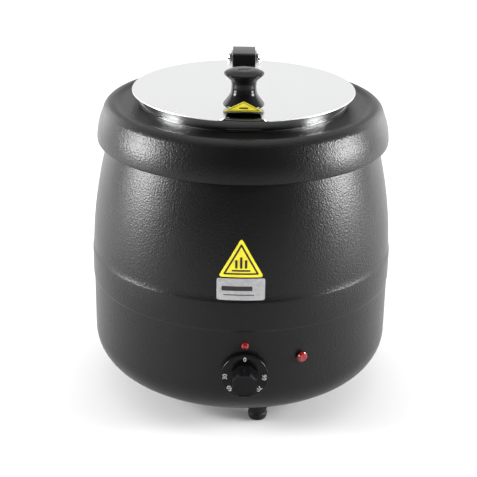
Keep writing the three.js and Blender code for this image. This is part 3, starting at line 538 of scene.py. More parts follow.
def hammered_paint(colours):
    """Black powder coat with a fine pebbled skin."""
    finish = Finish("black_hammered_paint", colours.paint, 0.42)
    here = finish.place()
    drift = finish.noise(here, 30 * MM, 2)
    warp = finish.noise(here, colours.pebble * 1.6, 1)
    pebble = finish.node("ShaderNodeTexVoronoi", {"feature": "SMOOTH_F1"},
                         {"Vector": here, "Scale": 1 / (colours.pebble * 1.35), "Smoothness": 0.7,
                          "Randomness": 1.0}, "Distance")
    fine = finish.noise(here, colours.pebble * 0.55, 2)
    relief = pebble * 0.9 + warp * 0.9 + fine * 0.35
    finish.feed("Normal", finish.bumps(relief, 0.75, 0.3 * MM))
    finish.feed("Base Color", finish.blend(drift, scaled(colours.paint, 0.85), scaled(colours.paint, 1.2)))
    finish.feed("Roughness", 0.27 + drift * 0.04 + pebble * 0.05)
    finish.feed("Specular IOR Level", 0.18)
    return finish.material


def mirror_steel(colours):
    """Polished stainless steel with faint polishing lines and the odd smear."""
    finish = Finish("mirror_steel", colours.mirror, 0.1, 1.0)
    here = finish.place()
    grain = finish.noise(finish.place(stretch=(0.02, 1, 1)), 0.35 * MM, 2)
    smear = finish.noise(here, 45 * MM, 3)
    finish.feed("Roughness", 0.2 + smear * 0.05 + grain * 0.03)
    finish.feed("Base Color", finish.blend(smear, scaled(colours.mirror, 0.97), colours.mirror))
    finish.feed("Normal", finish.bumps(grain, 0.05, 0.02 * MM))
    return finish.material


def turned_steel(name, base, roughness, grain_size):
    """Stainless steel polished on a spindle, so that its grain runs round the axis."""
    finish = Finish(name, base, roughness, 1.0)
    here = finish.place()
    height = finish.node("ShaderNodeSeparateXYZ", {}, {0: here}, "Z")
    rings = finish.node("ShaderNodeCombineXYZ", {}, {0: finish.radius(here), 1: 0.0, 2: height})
    grain = finish.noise(rings, grain_size, 3, 0.6)
    smear = finish.noise(here, 25 * MM, 2)
    finish.feed("Roughness", roughness - 0.04 + grain * 0.08 + smear * 0.05)
    finish.feed("Base Color", finish.blend(grain, scaled(base, 0.93), scaled(base, 1.04)))
    finish.feed("Normal", finish.bumps(grain, 0.12, 0.05 * MM))
    return finish.material


def satin_metal(name, base, roughness, patch, grain=0.4 * MM):
    """Plated or mill-finish metal with a soft patchy bloom."""
    finish = Finish(name, base, roughness, 1.0)
    here = finish.place()
    spangle = finish.node("ShaderNodeTexVoronoi", {}, {"Vector": here, "Scale": 1 / patch}, "Color")
    shade = finish.node("ShaderNodeSeparateXYZ", {}, {0: spangle}, "X")
    fine = finish.noise(here, grain, 2)
    finish.feed("Base Color", finish.blend(shade, scaled(base, 0.86), scaled(base, 1.08)))
    finish.feed("Roughness", roughness - 0.05 + shade * 0.08 + fine * 0.04)
    finish.feed("Normal", finish.bumps(fine, 0.15, 0.05 * MM))
    return finish.material


def moulded(name, base, roughness, bump, coat=0.0, grain=0.8 * MM, shine=0.5):
    """Moulded plastic, thermoset or rubber: slight mottling and a grain of its own."""
    finish = Finish(name, base, roughness, Coat_Roughness=0.06)
    here = finish.place()
    mottle = finish.noise(here, 9 * MM, 3)
    fine = finish.noise(here, grain, 3)
    finish.feed("Base Color", finish.blend(mottle, scaled(base, 0.8), scaled(base, 1.25)))
    finish.feed("Roughness", roughness - 0.04 + mottle * 0.06 + fine * 0.03)
    finish.feed("Normal", finish.bumps(fine, bump, 0.06 * MM))
    finish.feed("Coat Weight", coat)
    finish.feed("Specular IOR Level", shine)
    return finish.material


def lamp_glass(colours):
    """Red moulded lens, its red deeper and lighter in patches of noise."""
    finish = Finish("red_lamp_lens", colours.red, 0.12, IOR=1.49, Coat_Weight=0.15, Coat_Roughness=0.05)
    here = finish.place()
    depth = finish.noise(here, 2.4 * MM, 2)
    finish.feed("Base Color", finish.blend(depth, scaled(colours.red, 0.45), scaled(colours.red, 1.5)))
    finish.feed("Roughness", 0.1 + depth * 0.08)
    finish.feed("Normal", finish.bumps(depth, 0.25, 0.25 * MM))
    finish.feed("Subsurface Weight", 0.25)
    finish.feed("Subsurface Radius", (0.004, 0.0008, 0.0008))
    return finish.material


def fleece(name, base):
    """Pressed mineral wool: matt and fibrous."""
    finish = Finish(name, base, 0.95)
    strands = finish.noise(finish.place(stretch=(1, 1, 0.2)), 1.2 * MM, 5, 0.7)
    finish.feed("Base Color", finish.blend(strands, scaled(base, 0.7), base))
    finish.feed("Normal", finish.bumps(strands, 0.8, 0.8 * MM))
    return finish.material


def all_finishes(colours):
    """Every material, by the record's slot or by a name of its own."""
    return {
        "drum_paint": hammered_paint(colours),
        "lid_steel": mirror_steel(colours),
        # The lid ring's steel is the lid's mirror colour darkened to 13%: painted shade that stands in for the
        # dark reflection of the black collar in its wall and dims its highlights.
        "ring_steel_painted_shade": turned_steel("ring_steel_painted_shade", scaled(colours.mirror, 0.13), 0.18, 0.5 * MM),
        "pan_steel": turned_steel("pan_steel", colours.steel, 0.28, 0.5 * MM),
        "bracket_steel": satin_metal("bracket_steel", (0.62, 0.63, 0.64), 0.3, 6 * MM, 0.3 * MM),
        "pin_steel": turned_steel("pin_steel", (0.78, 0.79, 0.8), 0.14, 0.3 * MM),
        "base_zinc": satin_metal("base_zinc", (0.5, 0.51, 0.53), 0.42, 9 * MM),
        "clamp_aluminium": satin_metal("clamp_aluminium", (0.66, 0.67, 0.69), 0.36, 14 * MM),
        "capillary_brass": satin_metal("capillary_brass", (0.66, 0.44, 0.16), 0.3, 5 * MM),
        "black_bakelite": moulded("black_bakelite", colours.bakelite, 0.13, 0.04, 0.0, 1.5 * MM, 0.13),
        "foot_rubber": moulded("foot_rubber", colours.rubber, 0.62, 0.5, 0.0, 0.6 * MM, 0.2),
        "white_nylon": moulded("white_nylon", (0.72, 0.7, 0.64), 0.55, 0.2),
        "lead_silicone": moulded("lead_silicone", (0.32, 0.05, 0.03), 0.5, 0.25),
        "insulation_wool": fleece("insulation_wool", (0.74, 0.7, 0.55)),
        "lamp_red": lamp_glass(colours),
        "sign_yellow": moulded("sign_yellow", colours.yellow, 0.42, 0.05, 0.1, 0.9 * MM),
        "plate_silver": satin_metal("plate_silver", colours.foil, 0.5, 3 * MM, 0.25 * MM),
        "print_black": moulded("print_black", colours.print_black, 0.45, 0.05),
        "print_white": moulded("print_white", colours.print_white, 0.6, 0.05),
    }


FINISHES = {}


# ---------------------------------------------------------------- stage
class KETTLE_OT_stage(Operator):
    """Sets up the camera, the pale floor with painted shade round the kettle, the softboxes and the room."""
    bl_idname = "kettle.stage"
    bl_label = "Stage"

    def execute(self, context):
        stage = context.scene.kettle_stage
        stand_clear()
        bpy.ops.object.camera_add(location=(stage.camera_side, -stage.distance, stage.camera_height))
        camera = context.object
        camera.name = "camera"
        camera.data.lens = stage.lens
        camera.data.sensor_width = 36
        camera.matrix_world = (Matrix.Translation(camera.location)
                               @ Matrix.Rotation(pi / 2 - stage.pitch, 4, "X")
                               @ Matrix.Rotation(stage.roll, 4, "Z"))
        camera.data.clip_start, camera.data.clip_end = 0.05, 50
        context.scene.camera = camera

        floor = primitive("floor", bpy.ops.mesh.primitive_circle_add, vertices=96, radius=6, fill_type="NGON")
        paper = Finish("pale_paper", stage.floor, 0.9)
        spot = paper.place()
        # The floor's colour is darker near the kettle: painted shade round its base that deepens the contact
        # shadow and dims the light the floor throws back onto the drum.
        near, far, near_shade = 0.5, 1.7, 0.55
        painted_shade_fade = paper.node("ShaderNodeMapRange", {"interpolation_type": "SMOOTHSTEP"},
                          {0: paper.radius(spot), 1: near, 2: far, 3: 0.0, 4: 1.0})
        paper.feed("Base Color", paper.blend(painted_shade_fade, scaled(stage.floor, near_shade), stage.floor))
        paper.feed("Roughness", 0.86 + paper.noise(spot, 4 * MM, 3) * 0.08)
        painted(floor, paper.material)

        for name, place, size, power in [
            ("softbox_left", (-1.45, -0.22, 0.5), (0.6, 0.6), stage.side_light),
            ("softbox_right", (1.45, -0.22, 0.5), (0.6, 0.6), stage.side_light),
            ("rim_panel_left", (-1.25, 1.15, 0.6), (1.0, 1.2), stage.rim_light),
            ("rim_panel_right", (1.25, 1.15, 0.6), (1.0, 1.2), stage.rim_light),
            ("softbox_top", (0, 0.4, 2.6), (2.4, 2.4), stage.top_light),
        ]:
            stand_clear()
            bpy.ops.object.light_add(type="AREA", location=place)
            light = context.object
            light.name = light.data.name = name
            light.data.shape = "RECTANGLE"
            light.data.size, light.data.size_y = size
            light.data.energy = power
            aim = Vector((0, 0, 0.2)) - Vector(place)
            light.matrix_world = Matrix.Translation(place) @ aim.to_track_quat("-Z", "Y").to_matrix().to_4x4()

        world = bpy.data.worlds.new("room")
        context.scene.world = world
        world.use_nodes = True
        tree = world.node_tree
        tree.nodes.clear()
        room = Finish.__new__(Finish)  # the room has nodes but no material
        room.tree = tree
        direction = room.node("ShaderNodeTexCoord", output="Generated")
        toward_back = room.node("ShaderNodeSeparateXYZ", {}, {0: direction}, "Y")
        dim, bright = -0.9, 0.25
        glow = room.node("ShaderNodeMapRange", {"interpolation_type": "SMOOTHSTEP"},
                         {0: toward_back, 1: dim, 2: bright, 3: stage.room_front, 4: stage.sky})
        light = tree.nodes.new("ShaderNodeBackground")
        room.plug(light.inputs["Strength"], glow)
        light.inputs["Color"].default_value = (1, 1, 1, 1)
        output = tree.nodes.new("ShaderNodeOutputWorld")
        tree.links.new(light.outputs[0], output.inputs["Surface"])
        context.scene.view_settings.view_transform = "Standard"
        return {"FINISHED"}


# ---------------------------------------------------------------- finishes put on, and painted steel
class KETTLE_OT_finishes(Operator):
    """Mixes the finishes and gives every CAD node the one that its record slot names."""
    bl_idname = "kettle.finishes"
    bl_label = "Finishes"

    def execute(self, context):
        for material in list(bpy.data.materials):
            bpy.data.materials.remove(material)
        FINISHES.update(all_finishes(context.scene.kettle_colours))
        for part in frame["record"]["subparts"]:
            node = frame["nodes"][part["node"]]
            node.data.materials.clear()
            node.data.materials.append(FINISHES[part["material_slot"]])
        return {"FINISHED"}


class KETTLE_OT_drum(Operator):
    """Spins the painted drum with its raised band and leaning shoulder."""
    bl_idname = "kettle.drum"
    bl_label = "Drum"

    def execute(self, context):
        drum = context.scene.kettle_drum
        band = high("outer_shell").x
        wall = band - drum.band_proud
        bottom, top = low("outer_shell").z, high("outer_shell").z
        corner = wall - drum.base_radius
        band_top = drum.band_bottom + drum.band_height
        edge = 2.5 * MM
        rows = 24
        shoulder = [band_top + edge + (drum.shoulder_top - band_top - edge) * i / rows
                    for i in range(rows + 1)]
        neck = shoulder_radius(drum, drum.shoulder_top)
        top_corner = 5 * MM
        mouth = high("water_pan").x + 1.8 * MM
        line = [
            (drum.flange_radius, bottom),
            *arc((drum.base_radius, bottom + corner), corner, -90, 0, 16),
            (wall, drum.band_bottom - 2 * MM),
            (wall + 0.12 * MM, drum.band_bottom - 1.1 * MM),
            (wall + 0.5 * MM, drum.band_bottom - 0.1 * MM),
            (band - 0.12 * MM, drum.band_bottom + 0.9 * MM),
            (band, drum.band_bottom + 1.8 * MM),
            (band, band_top - 1.4 * MM),
            (band - 0.1 * MM, band_top - 0.4 * MM),
            (band - 0.45 * MM, band_top + 0.9 * MM),
            *[(shoulder_radius(drum, height), height) for height in shoulder],
            *arc((neck - top_corner, top - top_corner), top_corner, 0, 90, 6),
            (mouth, top),
        ]
        piece = turned("drum_shell", walled(line, drum.sheet), steps=drum.steps)
        painted(piece, FINISHES["drum_paint"])
        hand_over(piece, "kettle", "drum_paint", "outer_shell", smooth=50)
        return {"FINISHED"}


class KETTLE_OT_collar(Operator):
    """Spins the rolled collar on top of the drum."""
    bl_idname = "kettle.collar"
    bl_label = "Collar"

    def execute(self, context):
        drum = context.scene.kettle_drum
        bottom, top = low("top_collar").z, high("top_collar").z
        radius = high("top_collar").x
        lip = 2 * MM
        rise = 32 * MM
        face_angle = asin(rise / drum.face_radius)
        face = arc((radius - drum.face_radius, bottom + lip), drum.face_radius, 0, degrees(face_angle), 10)
        centre = (face[-1][0] - drum.crest_radius * cos(face_angle), top - drum.crest_radius)
        crest = arc(centre, drum.crest_radius, degrees(face_angle), 90, 10)
        seat = top - 2.2 * MM
        rows = 6
        dish = [(crest[-1][0] - drum.dish_width * t / rows,
                 seat + (top - seat) * (1 - 3 * (t / rows) ** 2 + 2 * (t / rows) ** 3))
                for t in range(1, rows + 1)]
        line = [
            (radius - 4.6 * MM, bottom + 1.4 * MM),
            (radius - 3.4 * MM, bottom + 0.5 * MM),
            *arc((radius - lip, bottom + lip), lip, -90, 0, 4)[:-1],
            *face[:-1], *crest, *dish,
            (high("water_pan").x - 4.2 * MM, seat),
        ]
        piece = turned("collar_ring", walled(line, drum.sheet), steps=drum.steps)
        painted(piece, FINISHES["drum_paint"])
        hand_over(piece, "kettle", "drum_paint", "top_collar", smooth=50)
        return {"FINISHED"}


# ---------------------------------------------------------------- vessels and lid
class KETTLE_OT_vessels(Operator):
    """Spins the water pan and the lift-out soup pot."""
    bl_idname = "kettle.vessels"
    bl_label = "Water pan and soup pot"

    def execute(self, context):
        vessel, steps = context.scene.kettle_vessel, context.scene.kettle_drum.steps
        flange, top = high("water_pan").x, high("water_pan").z
        floor = high("thermal_cutout").z + 0.3 * MM + vessel.pan_wall
        lip = 2 * MM
        radius, corner = vessel.pan_radius, vessel.pan_corner
        line = [
            (0, floor),
            *arc((radius - corner, floor + corner), corner, -90, 0, 10),
            *arc((radius + lip, top - lip), lip, 180, 90, 4),
            (flange, top),
        ]
        pan = turned("water_bath_pan", walled(line[::-1], vessel.pan_wall), steps=steps)
        stud = turned("stud", in_mm([(0, 0), (2.6, 0), (3, 0.4), (3, 22.5), (0, 22.5)]),
                      (0, 0, low("water_pan").z), steps=24)
        pan = joined("water_bath_pan", pan, stud)
        painted(pan, FINISHES["pan_steel"])
        hand_over(pan, "kettle", "pan_steel", "water_pan", smooth=40)

        rim, top, bottom = high("inner_pot").x, high("inner_pot").z, high("inner_pot").z - 10 * MM
        floor = low("inner_pot").z + vessel.pot_wall
        radius, corner, curl, lip = vessel.pot_radius, vessel.pot_corner, vessel.rim_round, 1.6 * MM
        line = [
            (0, floor),
            *arc((radius - corner, floor + corner), corner, -90, 0, 10),
            *arc((radius + lip, top - lip), lip, 180, 90, 4),
            *arc((rim - curl, top - curl), curl, 90, 0, 6),
            (rim, bottom),
        ]
        pot = turned("soup_pot", walled(line[::-1], vessel.pot_wall), steps=steps)
        painted(pot, FINISHES["pan_steel"])
        hand_over(pot, "pot", "pan_steel", "inner_pot", smooth=40)
        return {"FINISHED"}


class KETTLE_OT_lid(Operator):
    """Spins the lid ring and cuts the flat lid with its ladle notch."""
    bl_idname = "kettle.lid"
    bl_label = "Lid and ring"

    def execute(self, context):
        vessel, steps = context.scene.kettle_vessel, context.scene.kettle_drum.steps
        hem, bottom, top = high("lid_ring").x, low("lid_ring").z, high("lid_ring").z
        radius, wall = vessel.ring_radius, vessel.ring_wall
        shoulder, edge = 1.6 * MM, 0.4 * MM
        outline = [
            (radius - wall, bottom),
            *arc((hem - edge, bottom + edge), edge, -90, 0, 2),
            *arc((hem - edge, bottom + wall - edge), edge, 0, 90, 2),
            *arc((radius + 0.5 * MM, bottom + wall + 0.5 * MM), 0.5 * MM, -90, -180, 3),
            *arc((radius - shoulder, top - shoulder), shoulder, 0, 90, 5),
            *arc((radius - vessel.cover_width + edge, top - edge), edge, 90, 180, 2),
            *arc((radius - vessel.cover_width + edge, top - wall + edge), edge, 180, 270, 2),
            (radius - wall - 0.3 * MM, top - wall),
            (radius - wall, top - wall - 0.3 * MM),
        ]
        ring = turned("lid_ring_steel", outline, steps=steps)
        # The ring gets the darkened steel, with its reflection's shade painted into its colour.
        painted(ring, FINISHES["ring_steel_painted_shade"])
        hand_over(ring, "ring", "lid_steel", "lid_ring")

        rim, bottom, top = high("lid_plate").x, low("lid_plate").z, high("lid_plate").z
        half_mouth, half_notch = vessel.mouth_width / 2, vessel.notch_width / 2
        inner = -rim + vessel.notch_depth
        opening = degrees(asin((half_mouth + 4 * MM) / rim))
        round_edge = arc((0, 0), rim, opening - 90, 270 - opening, steps)
        entry = round_edge[-1]
        left = [entry, (-half_mouth, entry[1] - 0.3 * MM), (-half_notch - 1.5 * MM, entry[1] + 8 * MM)]
        inside = [(-half_notch, inner - 5 * MM), (-half_notch, inner), (-half_notch + 5 * MM, inner)]
        side = [*bend(*left, 8), *bend(*inside, 8)]
        outline = [*round_edge[1:-1], *side, *[(-x, y) for x, y in reversed(side)]]
        lid = plate("steel_lid", outline, (0, 0, bottom), RIGHT, BACK, UP * (top - bottom))
        eased(lid, vessel.lid_edge, 2, 60)
        painted(lid, FINISHES["lid_steel"])
        hand_over(lid, "lid", "lid_steel", "lid_plate", smooth=15)
        return {"FINISHED"}


class KETTLE_OT_knob(Operator):
    """Turns the lid knob, with the ribs on its cap and the washer and screw under the lid."""
    bl_idname = "kettle.knob"
    bl_label = "Knob"

    def execute(self, context):
        handle = context.scene.kettle_handle
        seat = low("lid_knob").z
        centre = (0, -handle.knob_place, seat)
        skirt = eased_line([(14.5, 0), (15.6, 0.8), (20.9, 3.6)], 4)
        waist = eased_line([(21.0, 6.2), (18.1, 10.0), (15.6, 13.4), (14.0, 16.4), (13.35, 18.7)], 4)
        neck = eased_line([(13.3, 19.5), (12.95, 22.5), (13.0, 26.0), (13.5, 29.4), (15.2, 31.7),
                           (18.2, 34.4), (20.2, 36.4)], 3)
        cap = eased_line([(20.2, 38.7), (17.6, 39.9), (14.2, 41.0), (12.2, 41.5)], 3)
        crown = eased_line([(11.5, 41.6), (8.0, 41.8), (4.0, 41.9), (0, 41.9)], 3)
        outline = in_mm([(0, 0), *skirt, (21.45, 4.1), (21.6, 4.8), (21.4, 5.5), *waist, (13.1, 18.95),
                         (13.1, 19.25), *neck, (20.75, 37.0), (20.9, 37.6), (20.7, 38.2), *cap,
                         (11.8, 41.4), *crown])
        body = turned("knob_body", outline, centre, steps=72)
        ribs = []
        for side in (-1, 0, 1):
            rib = primitive("rib", bpy.ops.mesh.primitive_cube_add, size=1,
                            location=(side * 4.4 * MM, centre[1] + side * 0.6 * MM, seat + 42.0 * MM),
                            scale=(1.5 * MM, (9 - 1.6 * abs(side)) * MM, 0.8 * MM),
                            rotation=(0, 0, radians(-32)))
            ribs.append(eased(rib, 0.3 * MM, 2))
        knob = joined("knob", body, *ribs)
        painted(knob, FINISHES["black_bakelite"])
        hand_over(knob, "lid", "black_bakelite", "lid_knob")

        under = low("lid_plate").z
        disc = [(2.6, -0.4), (2.6, -1.2), (6.7, -1.2), (7, -0.9), (7, -0.5), (6.7, -0.3), (2.7, -0.3)]
        washer = turned("knob_washer_disc", in_mm(disc), (0, centre[1], under), steps=40)
        painted(washer, FINISHES["pin_steel"])
        hand_over(washer, "lid", "bracket_steel", "knob_washer")
        pan_head = [(0, -1.2), (3.4, -1.2), (3.9, -1.8), (3.8, -2.4), (3.0, -3.0), (1.2, -3.3), (1.0, -2.4),
                    (0, -2.4)]
        head = turned("knob_screw_head", in_mm(pan_head), (0, centre[1], under - 0.4 * MM), steps=32)
        painted(head, FINISHES["pin_steel"])
        hand_over(head, "lid", "bracket_steel", "knob_screw")
        return {"FINISHED"}


class KETTLE_OT_hinge(Operator):
    """Shapes the hinge block, its bracket, the domed pin and the rivets."""
    bl_idname = "kettle.hinge"
    bl_label = "Hinge"

    def execute(self, context):
        handle = context.scene.kettle_handle
        lowest, highest = low("hinge_block"), high("hinge_block")
        joint = next(j for j in frame["joints"] if j["name"] == "lid_hinge")
        axis = (joint["pos_m"][1], joint["pos_m"][2])
        rear = handle.rear_radius
        front, base, top = lowest.y, high("lid_plate").z + handle.knob_lift, highest.z
        meet = degrees(asin((axis[1] - base) / rear))
        nose = 4 * MM
        side = [
            (front, base), *arc(axis, rear, meet - 180, 0, 20), *arc((axis[0], top - rear), rear, 0, 90, 10),
            (front + 5 * MM, top), *arc((front + nose, top - nose), nose, 90, 180, 6)[1:],
        ]
        width = RIGHT * (highest.x - lowest.x)
        block = plate("hinge_block_moulding", side, (lowest.x, 0, 0), BACK, UP, width)
        eased(block, handle.block_edge, 3, 50)
        painted(block, FINISHES["black_bakelite"])
        hand_over(block, "lid", "black_bakelite", "hinge_block", smooth=22)

        bracket = dressed("hinge_bracket_plate", "hinge_bracket", handle.bracket_edge)
        painted(bracket, FINISHES["bracket_steel"])
        hand_over(bracket, "ring", "bracket_steel", "hinge_bracket", smooth=30)

        start, end = low("hinge_pin").x, low("hinge_nut").x
        dome = [(6.0, 0), (6.15, 0.3), (6.15, 1.2), (5.9, 1.6), (5.0, 2.8), (3.6, 3.7), (1.8, 4.15), (0, 4.2)]
        outline = [(0, 0), *in_mm(dome)]
        place = Vector((0, *axis))
        left = turned("pin_head", outline, place + RIGHT * (start + 4.2 * MM), -RIGHT, 40)
        inset = 3 * MM
        reach = 2 * (abs(start) - inset)
        shaft = turned("pin_shaft", rectangle(0, handle.pin_radius, 0, reach),
                       place + RIGHT * (start + inset), RIGHT, 32)
        pin = joined("hinge_pin_steel", left, shaft)
        painted(pin, FINISHES["pin_steel"])
        hand_over(pin, "ring", "bracket_steel", "hinge_pin")
        right = turned("hinge_dome_nut", outline, place + RIGHT * end, RIGHT, 40)
        painted(right, FINISHES["pin_steel"])
        hand_over(right, "ring", "bracket_steel", "hinge_nut")

        head = [(0, 0), (3.1, 0), (3.2, 0.4), (2.8, 1.0), (1.8, 1.35), (0, 1.45)]
        for name in ("bracket_rivet_left", "bracket_rivet_right"):
            spot = middle(name)
            rivet = turned(name + "_head", in_mm(head), (spot.x, high(name).y - 1.45 * MM, spot.z), BACK, 28)
            painted(rivet, FINISHES["pin_steel"])
            hand_over(rivet, "ring", "bracket_steel", name)
        for name in ("hinge_rivet_left", "hinge_rivet_right"):
            spot = middle(name)
            rivet = turned(name + "_head", in_mm([(r * 1.12, h * 0.8) for r, h in head]),
                           (spot.x, spot.y, low("lid_plate").z - 0.1 * MM), -UP, 28)
            painted(rivet, FINISHES["pin_steel"])
            hand_over(rivet, "lid", "bracket_steel", name)
        return {"FINISHED"}


# ---------------------------------------------------------------- fittings on the drum
class KETTLE_OT_dial(Operator):
    """Builds the thermostat dial: round skirt, eight-sided grip and raised figures."""
    bl_idname = "kettle.dial"
    bl_label = "Dial"

    def execute(self, context):
        fitting = context.scene.kettle_fitting
        lowest, highest = low("control_dial"), high("control_dial")
        back, front, height = highest.y, lowest.y, middle("control_dial").z
        middle_x = middle("control_dial").x
        centre = Vector((middle_x, back, height))
        radius, depth = fitting.skirt_radius, fitting.skirt_depth
        skirt = turned("skirt", [
            (0, 0.2 * MM), (radius - 1 * MM, 0), *arc((radius - 0.6 * MM, 1 * MM), 0.6 * MM, -60, 0, 3),
            *arc((radius - 1.1 * MM, depth - 1.3 * MM), 1.1 * MM, 0, 80, 5),
            (radius - 5 * MM, depth - 0.05 * MM), (fitting.grip_base / 2, depth), (0, depth),
        ], centre, FRONT, 96)
        ratio = 1 / cos(pi / 8)
        reach = (back - depth) - front + 1 * MM
        grip = primitive("grip", bpy.ops.mesh.primitive_cylinder_add, vertices=8,
                         radius=fitting.grip_base / 2 * ratio, depth=reach,
                         location=(middle_x, front + reach / 2, height), rotation=(pi / 2, 0, 0))
        edit(grip)
        bpy.ops.transform.rotate(value=pi / 8, orient_axis="Y", center_override=(middle_x, front, height))
        bpy.ops.mesh.select_all(action="DESELECT")
        bpy.ops.object.mode_set(mode="OBJECT")
        for face in grip.data.polygons:
            face.select = face.normal.y < -0.9
        bpy.ops.object.mode_set(mode="EDIT")
        bpy.ops.mesh.select_mode(type="FACE")
        shrink = fitting.grip_front / fitting.grip_base
        bpy.ops.transform.resize(value=(shrink, 1, shrink), center_override=(middle_x, front, height))
        bpy.ops.mesh.inset(thickness=2.2 * MM)
        bpy.ops.transform.translate(value=(0, 0.5 * MM, 0))
        bpy.ops.mesh.inset(thickness=0.4 * MM)
        bpy.ops.transform.translate(value=(0, 0.3 * MM, 0))
        bpy.ops.mesh.select_mode(type="VERT")
        close_up(grip)
        eased(grip, 0.9 * MM, 3, 30)
        figures = []
        for text, angle in (("0", 0), ("30", 90), ("50", 132), ("70", 228), ("90", 270)):
            stand_clear()
            bpy.ops.object.text_add(location=(0, 0, 0))
            figure = context.object
            figure.data.body = text
            figure.data.size = fitting.figure_size * 1.36
            figure.data.align_x, figure.data.align_y = "CENTER", "CENTER"
            figure.data.extrude = 0.12 * MM
            figure.data.resolution_u = 4
            take(figure)
            bpy.ops.object.convert(target="MESH")
            figure = context.object
            turn_up = Matrix.Rotation(pi / 2, 4, "X")
            swing = Matrix.Rotation(-radians(angle), 4, "Y")
            figure.matrix_world = (Matrix.Translation((middle_x, back - depth - 0.05 * MM, height)) @ swing
                                   @ Matrix.Translation((0, 0, fitting.figure_radius)) @ turn_up)
            settle(figure)
            painted(figure, FINISHES["print_white"])
            figures.append(figure)
        painted(skirt, FINISHES["black_bakelite"])
        painted(grip, FINISHES["black_bakelite"])
        dial = joined("thermostat_dial", skirt, grip, *figures)
        hand_over(dial, "dial", "black_bakelite", "control_dial")
        return {"FINISHED"}


class KETTLE_OT_lamps(Operator):
    """Turns the lenses of the power and heating lamps."""
    bl_idname = "kettle.lamps"
    bl_label = "Lamps"

    def execute(self, context):
        fitting = context.scene.kettle_fitting
        band_wall = high("outer_shell").x - context.scene.kettle_drum.band_proud
        for name, node, r in (("power_lamp_red", "power_lamp_lens", fitting.power_lens),
                              ("heat_lamp_red", "heat_lamp_lens", fitting.heat_lens)):
            spot = middle(node)
            angle = atan2(spot.x, -spot.y)
            out = Vector((sin(angle), -cos(angle), 0))
            outline = [
                (0, -1 * MM), (r * 0.9, -1 * MM), (r * 0.98, 0), (r, 0.4 * MM), (r * 0.985, 1.0 * MM),
                (r * 0.9, r * 0.27), (r * 0.86, r * 0.3), (r * 0.8, r * 0.46), (r * 0.62, r * 0.6),
                (r * 0.4, r * 0.7), (r * 0.2, r * 0.745), (0, r * 0.76),
            ]
            lens = turned(name, outline, out * (band_wall + 0.1 * MM) + UP * spot.z, out, 48)
            painted(lens, FINISHES["lamp_red"])
            hand_over(lens, "kettle", "lamp_red", node)
        return {"FINISHED"}


class KETTLE_OT_feet(Operator):
    """Turns one rubber foot and copies it to its three places."""
    bl_idname = "kettle.feet"
    bl_label = "Feet"

    def execute(self, context):
        fitting = context.scene.kettle_fitting
        sole, top = fitting.sole_radius / MM, fitting.foot_top / MM
        side = eased_line([(9.6, 9.0), (10.6, 12.0), (13.2, 17.4), (top, 20.6)], 4)
        outline = in_mm([(0, 6), (5, 6), (5, 0.3), (5.3, 0), (sole - 0.6, 0), (sole, 0.5), (sole + 0.9, 2.4),
                         (10.7, 5.6), (10.8, 6.6), (10.4, 7.4), (9.8, 8.1), *side, (top, 21.2),
                         (top - 0.5, 21.6), (0, 21.6)])
        first = turned("foot", outline, steps=48)
        for name in ("front", "rear_right", "rear_left"):
            spot = middle("foot_" + name)
            foot = copied(first, "rubber_foot_" + name, (spot.x, spot.y, 0))
            painted(foot, FINISHES["foot_rubber"])
            hand_over(foot, "kettle", "foot_rubber", "foot_" + name)
        bpy.data.objects.remove(first)
        return {"FINISHED"}


class KETTLE_OT_gland(Operator):
    """Turns the cord gland on the back of the drum."""
    bl_idname = "kettle.gland"
    bl_label = "Cord gland"

    def execute(self, context):
        fitting = context.scene.kettle_fitting
        spot = middle("cord_gland")
        tip = high("cord_gland").y
        wall = high("outer_shell").x - context.scene.kettle_drum.band_proud
        reach = (tip - wall) / MM
        flange = fitting.gland_flange / MM
        neck, ridges = [], 4
        for i in range(ridges):
            start = 10 + i * (reach - 13) / ridges
            wide, narrow = 7.6 - 0.35 * i, 6.5 - 0.3 * i
            neck += [(wide, start), (wide, start + 2.4), (narrow, start + 2.9), (narrow, start + 3.6)]
        outline = in_mm([(3.6, -12), (7, -12), (7, 0.3), (flange - 0.6, 0.3), (flange, 0.9), (flange, 3.6),
                         (flange - 0.7, 4.4), (9.2, 4.6), (8.6, 5.4), (8.4, 9.2), *neck, (5.6, reach - 1),
                         (5, reach), (3.9, reach), (3.6, reach - 0.4)])
        gland = turned("cord_entry_gland", outline, (spot.x, wall, spot.z), BACK, 48)
        painted(gland, FINISHES["black_bakelite"])
        hand_over(gland, "kettle", "black_bakelite", "cord_gland")
        return {"FINISHED"}


# ---------------------------------------------------------------- labels
def drum_skin(name, drum, bottom, top, lift, film, reach):
    """A thin curved skin that follows the front of the drum between two heights."""
    rows = 16
    heights = [bottom + (top - bottom) * i / rows for i in range(rows + 1)]
    line = [(shoulder_radius(drum, height) + lift, height) for height in heights]
    start = -pi / 2 - reach
    return turned(name, walled(line, -film), steps=28, start=start, sweep=2 * reach)


def stamped(name, skin, outlines, near, far):
    """Keeps the part of a skin that lies behind the outlines."""
    stamps = [plate("stamp", outline, (0, near, 0), RIGHT, UP, BACK * (far - near)) for outline in outlines]
    return joined(name, carved(skin, joined("stamps", *stamps), "INTERSECT"))


def triangle(side, height, bottom, corner, inset=0.0):
    """A rounded triangle that stands on its base, drawn inside its edge by the inset."""
    half = side / 2
    slope = sqrt(half ** 2 + height ** 2)
    narrow = inset * (slope + half) / height
    drop = inset * slope / half
    tips = [(-half + narrow, bottom + inset), (half - narrow, bottom + inset), (0, bottom + height - drop)]
    return rounded(tips, max(corner - inset * 0.8, 0.6 * MM))


